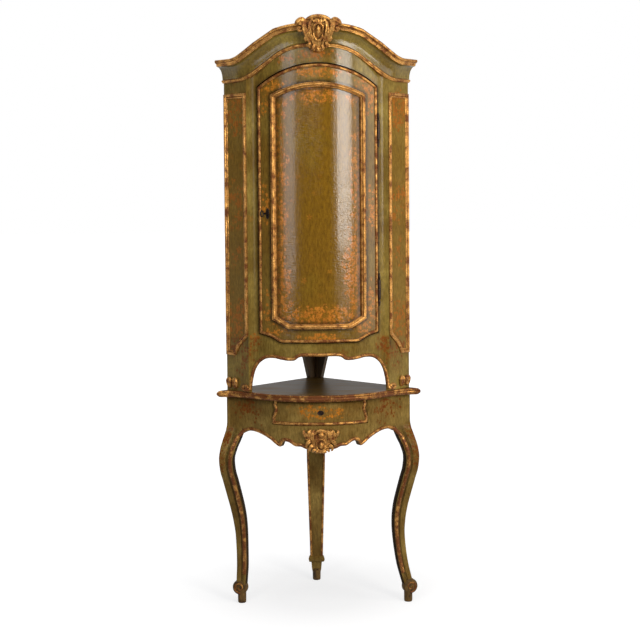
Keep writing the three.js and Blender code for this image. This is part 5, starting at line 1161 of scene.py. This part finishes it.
# %% Sections of a leg
leg_stations = [
    (1, 0, 1, 1), (0.94, 0, 1, 1), (0.88, 0, 1, 1), (0.845, 0.12, 1.02, 1), (0.82, 0.32, 1.03, 0.98),
    (0.79, 0.58, 1.01, 0.96), (0.75, 0.86, 0.92, 0.94), (0.705, 1, 0.84, 0.92), (0.66, 0.9, 0.83, 0.9),
    (0.6, 0.55, 0.83, 0.88), (0.53, 0.12, 0.82, 0.86), (0.46, -0.3, 0.79, 0.83), (0.39, -0.62, 0.73, 0.8),
    (0.32, -0.8, 0.66, 0.78), (0.25, -0.82, 0.63, 0.77), (0.18, -0.76, 0.62, 0.76), (0.12, -0.62, 0.6, 0.75),
    (0.07, -0.55, 0.55, 0.74)]
leg_along, leg_out = (math.cos(leg_turn), -math.sin(leg_turn)), (math.sin(leg_turn), math.cos(leg_turn))
right_creep, left_creep = 38, -15
channel = [(-0.44, 0), (-0.463, -0.004), (-0.486, -0.028), (-0.519, -0.05), (-0.552, -0.054), (-0.585, -0.04),
           (-0.606, -0.012), (-0.62, 0)]


def leg_place(reach, z, hand, across, proud):
    """A place on a leg. Both feet crept to the right: one outwards along its wall, one inwards."""
    corner = leg_corner + reach * knee_reach
    start = stand_height / 2
    shift = (right_creep if hand > 0 else left_creep) * (max(start - z, 0) / start) ** 2
    return (corner + leg_along[0] * across + leg_out[0] * proud + shift,
            corner + leg_along[1] * across + leg_out[1] * proud + max(shift, 0))


def leg_section(station, hand):
    up, reach, wide, deep = station
    wide, deep, z = wide * leg_width, deep * leg_depth, up * under_top
    flush = float(soft((up - 0.8) / 0.08))  # the top of the leg follows the apron's bow

    def place(across, proud):
        x, ahead = leg_place(reach, z, hand, across, proud)
        corner = leg_corner + reach * knee_reach
        bow = float(np.interp(x, apron_sheet.line[:, 0], apron_sheet.line[:, 1]))
        ahead += flush * (bow - corner + (x - corner) * math.tan(leg_turn))
        return x, max(ahead, x), z

    chamfer = 0.12 * deep
    hollow = float(soft((0.86 - up) / 0.06))  # the channel begins at the knee
    face = [(0, -3), (-0.9, -0.9), (-3, 0), (-0.2 * wide, 0.3), (-0.38 * wide, 0.2)]
    face += [(a * wide, p * wide * hollow) for a, p in channel]
    edge_drop = 1 - flush
    face += [(-0.86 * wide, 0), (-wide + 3, 0), (-wide + 0.9, -0.9 * edge_drop), (-wide, -3 * edge_drop)]
    face += [(-wide, -0.5 * deep), (-wide, -deep + chamfer), (-wide + chamfer, -deep), (-0.5 * wide, -deep),
             (-chamfer, -deep), (0, -deep + chamfer), (0, -0.5 * deep)]
    return [place(a, p) for a, p in face], [a for a, _ in face], place


print("stations", len(leg_stations))

# %% Front legs
bead_ends = [p for p, _ in stand_bead_line[-4:-2]]
leg_start = float(apron_sheet.along(leg_inner)) + leg_width
stations = smooth(leg_stations, 110)
for hand, side in hands:
    rings, spread, marks, edge = [], [], [], []
    for station in stations:
        section, across, place = leg_section(station, hand)
        z = section[0][2]
        rings += [at(hand * x, a, z) for x, a, _ in section]
        spread += [(hand * (leg_start + c) / 1000, z / 1000, 0) for c in across]
        top = float(soft((station[0] - 0.82) / 0.05))
        painted = top * patches(np.array([q[0] for q in section]), z, leg_spots)
        flowery = 0.85 * soft((z - 470) / 70) * soft((690 - z) / 40)
        for k, flower in enumerate(painted):
            in_channel, on_painted_shade_side = 7 <= k <= 12, 16 <= k <= 19
            # The channel is darkened as dirt and painted shade, and below the knee the leg's flat inner side is painted
            # dark as painted shade
            dirt_and_shade = 0.1 + 0.55 * (1 - top) if in_channel else 1.2 * (1 - top) if on_painted_shade_side else 0.1
            marks.append((flower if 6 <= k <= 20 else max(flowery, flower), 0.12, dirt_and_shade, 0.85))
        if 0.112 < station[0] < 0.8:
            x, a, _ = place(-0.8 * station[2] * leg_width, 0.4)
            edge.append(at(x, a, z))
    finished("cabriole_leg_" + side, rings, swept_faces(len(stations), len(section)), stand_paint, "carcass",
             ["front_leg_" + side], (spread, marks), sharp=48)
    way = (hand * leg_out[0], -leg_out[1], 0)
    edge = [((hand * x, y, z), way) for x, y, z in smooth(bead_ends + edge[::5], 150)]
    bead("gilt_leg_bead_" + side, edge, "carcass", "leg_bead_" + side, 14, 4.6, edge_gilt, 1.0)

# %% Turned and round pieces
def circle_ways(sides):
    return [(math.cos(a), math.sin(a)) for a in (2 * math.pi * k / sides for k in range(sides))]


def turned(name, profile, origin, axis, material, body, nodes, sides=36, squash=(1, 1)):
    """A closed profile of (radius, along) points turned round an axis through an origin, in millimetres."""
    axis = Vector(axis).normalized()
    one = axis.orthogonal().normalized() if abs(axis.z) > 0.9 else Vector((0, 0, 1)).cross(axis).normalized()
    two = axis.cross(one)
    points = [Vector(origin) + (axis * h + one * (r * c * squash[0]) + two * (r * s * squash[1])) / 1000
              for r, h in profile for c, s in circle_ways(sides)]
    return finished(name, points, swept_faces(len(profile), sides), material, body, nodes)


def tube(name, line, face, sides=12):
    """A tapering round body along a line of (point in metres, radius in millimetres)."""
    points = []
    way = np.gradient(np.array([q for q, _ in line], float), axis=0)
    for (q, radius), t in zip(line, way):
        t = Vector(t).normalized()
        side = t.cross(face).normalized()
        out = side.cross(t)
        points += [q + (side * c + out * s) * radius / 1000 for c, s in circle_ways(sides)]
    return finished(name, points, swept_faces(len(line), sides), edge_gilt, "carcass")


print("a ring has", len(circle_ways(36)), "sides")

# %% Scroll feet and pegs
peg = [(10, 0), (13.5, 0.3), (15, 2), (15.6, 8), (15.8, 22), (16, 40), (12, 44)]
scroll_height, scroll_shift, spiral_turns, spiral_radius = 59, 5.5, 1.35, 21
_, reach, wide, deep = leg_stations[-1]
half = deep * leg_depth / 2
rim = [(8, -half), (20, -half), (25, -half + 2), (28, -half + 7), (27.2, -2), (28, half - 7), (26.6, half - 2.5),
       (24, half - 0.4), (18, half), (6, half)]
for hand, side in hands:
    x, ahead = leg_place(reach, scroll_height, hand, -0.5 * wide * leg_width, -half)
    axis = Vector((hand * leg_out[0], -leg_out[1], 0))
    across = Vector((hand * leg_along[0], -leg_along[1], 0))
    centre = Vector(at(hand * x, ahead, scroll_height)) + across * scroll_shift / 1000
    turned("foot_scroll_" + side, rim, centre, axis, worn_foot, "carcass", ())
    centre += axis * (half - 0.5) / 1000
    spiral = []
    for t in np.linspace(0, 1, 60):
        a = math.radians(-100) + t * 2 * math.pi * spiral_turns
        r = spiral_radius * (1 - 0.78 * t) / 1000
        spiral.append((centre + (across * math.cos(a) + Vector((0, 0, 1)) * math.sin(a)) * r, 3.4 * (1 - 0.35 * t)))
    tube("gilt_foot_spiral_" + side, spiral, axis)
    turned("foot_peg_" + side, peg, at(hand * x, ahead, 0), (0, 0, 1), worn_foot, "carcass", (), 24)
turned("foot_peg_back", peg, at(0, 30, 0), (0, 0, 1), worn_foot, "carcass", (), 24)

# %% Beads of the back leg
back_stations = [(0.125, 0.68), (0.17, 0.7), (0.62, 0.97), (1, 1)]  # height and width, as shares
back_half, back_flat = 37, 14
for hand, side in hands:
    line = []
    for up in np.linspace(0.83, 0.125, 60):
        half = float(np.interp(up, *as_array(back_stations))) * back_half
        line.append((at(hand * (half - 4.6), half + back_flat + gap, up * under_top), (0, -1, 0)))
    bead("gilt_back_leg_bead_" + side, line, "carcass", "back_leg_bead_" + side, 8, 4)

# %% [markdown]
# ## Carving
# The crest, the shell and the scrolls on the cabinet's feet are carved wood. Each is laid up
# from tapering leaves and scrolls, which a voxel remesh melts into one carved body.

# %% Carver's tools
def leaf(path, radii, deep=0.7, sides=14, count=18, groove=0.0):
    """A leaf or stem along (x, proud, z) places, as rings of points."""
    line = np.array(smooth(path, count))
    share = np.linspace(0, 1, count + 1)
    sizes = np.interp(share * (len(radii) - 1), range(len(radii)), radii)
    sizes = sizes * np.sqrt(np.clip(1 - (2 * share - 1) ** 8, 0.08, 1))
    rings = []
    for p, t, r in zip(line, np.gradient(line, axis=0), sizes):
        t = t / np.linalg.norm(t)
        side = np.cross(t, (0, 1, 0))
        side /= max(np.linalg.norm(side), 1e-6)
        out = np.cross(side, t)
        if out[1] < 0:
            out = -out
        ring = []
        for c, s in circle_ways(sides):
            dip = groove * math.exp(-(c / 0.32) ** 2) if s > 0 else 0
            ring.append(p + side * c * r + out * (s - dip) * r * deep)
        rings.append(ring)
    return rings


def coil(centre, radius, thick, hand, turns, start, proud, rise):
    """A scroll that turns inwards from its outer end."""
    path, radii = [], []
    for t in np.linspace(0, 1, 41):
        a = math.radians(start) + t * turns * 2 * math.pi
        r = radius * (1 - 0.78 * t)
        path.append((centre[0] + hand * r * math.cos(a), proud + rise * t, centre[1] + r * math.sin(a)))
        radii.append(thick * (1 - 0.45 * t))
    return leaf(path, radii, 0.9, 12, 40)


def boss(centre, radii):
    """A rounded boss, as rings from bottom to top."""
    rings = []
    for b in np.linspace(-0.5, 0.5, 13) * math.pi * 0.985:
        rings.append([np.array((centre[0] + radii[0] * math.cos(b) * math.cos(a),
                                centre[1] + radii[1] * math.cos(b) * math.sin(a),
                                centre[2] + radii[2] * math.sin(b)))
                      for a in np.linspace(0, 2 * math.pi, 20, False)])
    return rings


print("a stem has", len(leaf([(0, 0, 0), (0, 0, 9)], [2, 1])), "rings")

# %% Melted carving
def with_mirror(parts):
    return parts + [[[p * (-1, 1, 1) for p in ring] for ring in rings] for rings in parts]


def carved(name, parts, mapping, material, node_name, voxel=0.0011, tool=0.25):
    """Melts parts into one carved body, and leaves the marks of a tool on it."""
    points, faces = [], []
    for rings in parts:
        faces += swept_faces(len(rings), len(rings[0]), len(points))
        points += [mapping(*p) for ring in rings for p in ring]
    mesh = bpy.data.meshes.new(name + "_parts")
    mesh.from_pydata([tuple(p) for p in points], [], faces)
    outward(mesh)
    rough = placed(name + "_parts", mesh)
    melt = rough.modifiers.new("melt", "REMESH")
    melt.mode, melt.voxel_size = "VOXEL", voxel
    calm = rough.modifiers.new("calm", "SMOOTH")
    calm.factor, calm.iterations = 0.5, 2
    mesh = made_plain(rough, name, "carcass", [node_name], sharp=180).data
    place, way = np.empty((2, 3 * len(mesh.vertices)), np.float32)
    mesh.vertices.foreach_get("co", place)
    mesh.vertices.foreach_get("normal", way)
    place, way = place.reshape(-1, 3), way.reshape(-1, 3)
    shake = np.array([noise.noise(Vector(p) * 260) for p in place])
    mesh.vertices.foreach_set("co", (place + way * shake[:, None] * tool / 1000).ravel())
    mesh.update()
    mesh.materials.clear()
    mesh.materials.append(material)


print("a boss and its mirror image are", len(with_mirror([boss((5, 0, 0), (2, 2, 2))])), "parts")

# %% Crest
crest_low, crest_squat = neck_height - 33, 0.985


def crest_front(z):
    return float(22 + 24 * soft(z / 100))


def crest_place(x, proud, z):
    return at(x, cabinet_bow + proud + crest_front(z) - 4, crest_low + z * crest_squat)


shield_line = [(0, 6), (8, 20), (22, 29), (45, 37), (65, 43), (79, 47), (95, 50), (108, 47), (118, 36), (126, 20)]
shield = []
for z in np.linspace(1, 127, 36):
    wide, depth = float(np.interp(z, *as_array(shield_line))), crest_front(z) + 4
    shield.append([np.array((wide * math.cos(a), math.sin(a) * (2 if math.sin(a) > 0 else depth), z))
                   for a in np.linspace(0, 2 * math.pi, 24, False)])
crest_parts = [shield, boss((0, 7, 70), (8, 9, 22)), boss((0, 3, 10), (7, 6, 10)),
               leaf([(-46, 2, 110), (-22, 8, 120), (0, 10, 123), (22, 8, 120), (46, 2, 110)], [5, 7, 7, 7, 5], 0.9),
               leaf([(-17, 5, 62), (-15, 9, 88), (0, 10, 98), (15, 9, 88), (17, 5, 62)], [3, 4, 4.5, 4, 3], 0.9),
               leaf([(-17, 5, 66), (-12, 8, 46), (0, 8, 38), (12, 8, 46), (17, 5, 66)], [3, 4, 4, 4, 3], 0.9)]
crest_parts += [leaf([(k * 5, 5, 98), (k * 9, 9, 106), (k * 13, 8, 114)], [2.5, 4.2, 3], 0.8) for k in range(-2, 3)]
crest_parts += with_mirror([
    leaf([(40, 3, 112), (50, 9, 96), (46, 9, 72), (35, 8, 44), (24, 5, 22)], [6, 9, 9, 7, 3], 0.75, groove=0.6),
    leaf([(24, 6, 112), (31, 10, 92), (29, 10, 64), (20, 9, 38), (13, 6, 20)], [4, 6, 6.5, 5, 2.5], 0.85, groove=0.6),
    leaf([(44, 4, 106), (60, 9, 111), (74, 7, 103), (82, 3, 92)], [7, 9.5, 8, 4], 0.75, groove=0.5),
    leaf([(48, 5, 84), (58, 9, 94), (70, 8, 94)], [4, 6, 3], 0.8, groove=0.4),
    leaf([(36, 5, 54), (45, 8, 46), (42, 5, 34)], [4, 6, 2.5], 0.8, groove=0.4),
    leaf([(25, 5, 34), (33, 7, 24), (27, 4, 12)], [4, 6, 2.5], 0.8, groove=0.4),
    leaf([(12, 5, 26), (18, 8, 12), (12, 5, 2)], [3.5, 5.5, 2.5], 0.8, groove=0.4),
    coil((65, 80), 13, 5.2, 1, 1.25, 100, 2, 5), boss((65, 6, 80), (4, 4, 4))])
carved("carved_gilt_crest", crest_parts, crest_place, gilt, "crest", 0.0012)
print("crest parts", len(crest_parts))

# %% Shell of the stand's apron
shell_low = stand_height - 209


def shell_place(x, proud, z):
    return at(x, top_bow - apron_inset + proud, shell_low + z)


wreath = [(17 * math.cos(a), 7, 27 + 21 * math.sin(a)) for a in np.linspace(0, 2 * math.pi, 17)]
shell_parts = [boss((0, 0, 50), (46, 6, 30)), boss((0, 0, 24), (34, 6, 22)), boss((0, 8, 27), (8, 9, 13)),
               boss((0, 8, 64), (12, 9, 9)), leaf(wreath, [4, 4, 4], 1.0, count=40),
               leaf([(-24, 4, 60), (-17, 8, 74), (0, 10, 80), (17, 8, 74), (24, 4, 60)], [5, 6.5, 6, 6.5, 5], 0.9)]
shell_parts += [leaf([(k * 6, 4, 10), (k * 8, 8, 2), (k * 9.5, 4, -4 + abs(k))], [3, 5, 2.5], 0.8, groove=0.3)
                for k in range(-2, 3)]
shell_parts += with_mirror([
    leaf([(22, 4, 82), (30, 10, 70), (31, 10, 52), (27, 8, 38)], [4, 7, 7, 4], 0.8, groove=0.6),
    leaf([(34, 3, 84), (43, 9, 74), (45, 9, 60), (38, 7, 46)], [4, 7, 7, 4], 0.8, groove=0.6),
    leaf([(44, 3, 58), (56, 8, 64), (62, 7, 76), (56, 3, 82)], [5, 7, 5.5, 2.5], 0.8, groove=0.5),
    leaf([(34, 4, 44), (46, 9, 38), (52, 7, 26), (47, 3, 18)], [5, 7.5, 6, 2.5], 0.8, groove=0.5),
    leaf([(26, 4, 28), (37, 8, 22), (41, 6, 10), (36, 3, 4)], [5, 7, 5, 2.5], 0.8, groove=0.5),
    leaf([(18, 5, 12), (27, 8, 8), (29, 4, 0)], [4, 6, 2.5], 0.8, groove=0.4),
    coil((52, 52), 8, 4, 1, 1.1, 30, 3, 4)])
carved("carved_gilt_shell", shell_parts, shell_place, gilt, "apron_shell")
print("shell parts", len(shell_parts))

# %% Scrolls on the cabinet's feet
for hand, side in hands:
    sheet = pilaster_sheet(hand)
    parts = []
    for share in (0.15, 0.42):
        s = pilaster_width * (0.5 - share)
        parts.append(leaf([(s - 1, 2.5, 9), (s, 5, 22), (s + 1, 6, 36), (s, 4, 49)], [8, 12, 14, 10], 0.75, groove=0.7))
        parts.append(coil((s, 36), 7.5, 3.6, -1, 1.1, 190, 6, 3))
    carved("foot_scrolls_" + side, parts,
           lambda s, p, z, sheet=sheet, hand=hand: sheet.point(hand * s, stand_height + z, p),
           worn_gilt, "foot_volutes_" + side, tool=0.2)

# %% [markdown]
# ## Iron
# The door hangs on two pins with turned finials, and the lock has a small oval plate. They were
# forged and filed by hand, so each is a profile turned round an axis.

# %% Hinges
finial = [(0.4, -60.5), (1.5, -60.3), (3.2, -57), (2.3, -52.6), (4.5, -47), (4.2, -42), (2.5, -37), (5.6, -34.6),
          (5.8, -32), (5.4, -31.4)]
pin = finial + [(2.4, -31.3), (2.4, 31.3)] + [(r, -h) for r, h in finial[::-1]]
for where in ("lower", "upper"):
    low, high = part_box(where + "_hinge_pin")
    turned(where + "_hinge_finials", pin, (low + high) / 2, (0, 0, 1), iron, "carcass", [where + "_hinge_pin"],
           20)
print("pins", len(pin), "points long")

# %% Keyhole plates
low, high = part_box("keyhole_plate")
lock_x = 32 - door_half
lock_turn = math.asin(lock_x / door_radius)
seat = at(lock_x, door_centre + door_radius * math.cos(lock_turn), (low.z + high.z) * 500)
plate = [(3.4, 0.6), (7.2, 0.6), (7.5, 1.0), (7.2, 1.9), (6.4, 2.3), (3.4, 2.3)]
turned("iron_keyhole_plate", plate, seat, (math.sin(lock_turn), -math.cos(lock_turn), 0), iron, "door",
       ["keyhole_plate"], 40, (1, 40 / 15))
collar = [(0.5, 0.3), (5.6, 0.3), (6.2, 0.9), (8.2, 1.1), (8.8, 0.3), (8.8, -1), (0.5, -1)]
turned("iron_drawer_keyhole", collar, at(0, apron_sheet.place(0)[1], stand_height - 67), (0, -1, 0), iron,
       "drawer", (), 30, (1.35, 1))
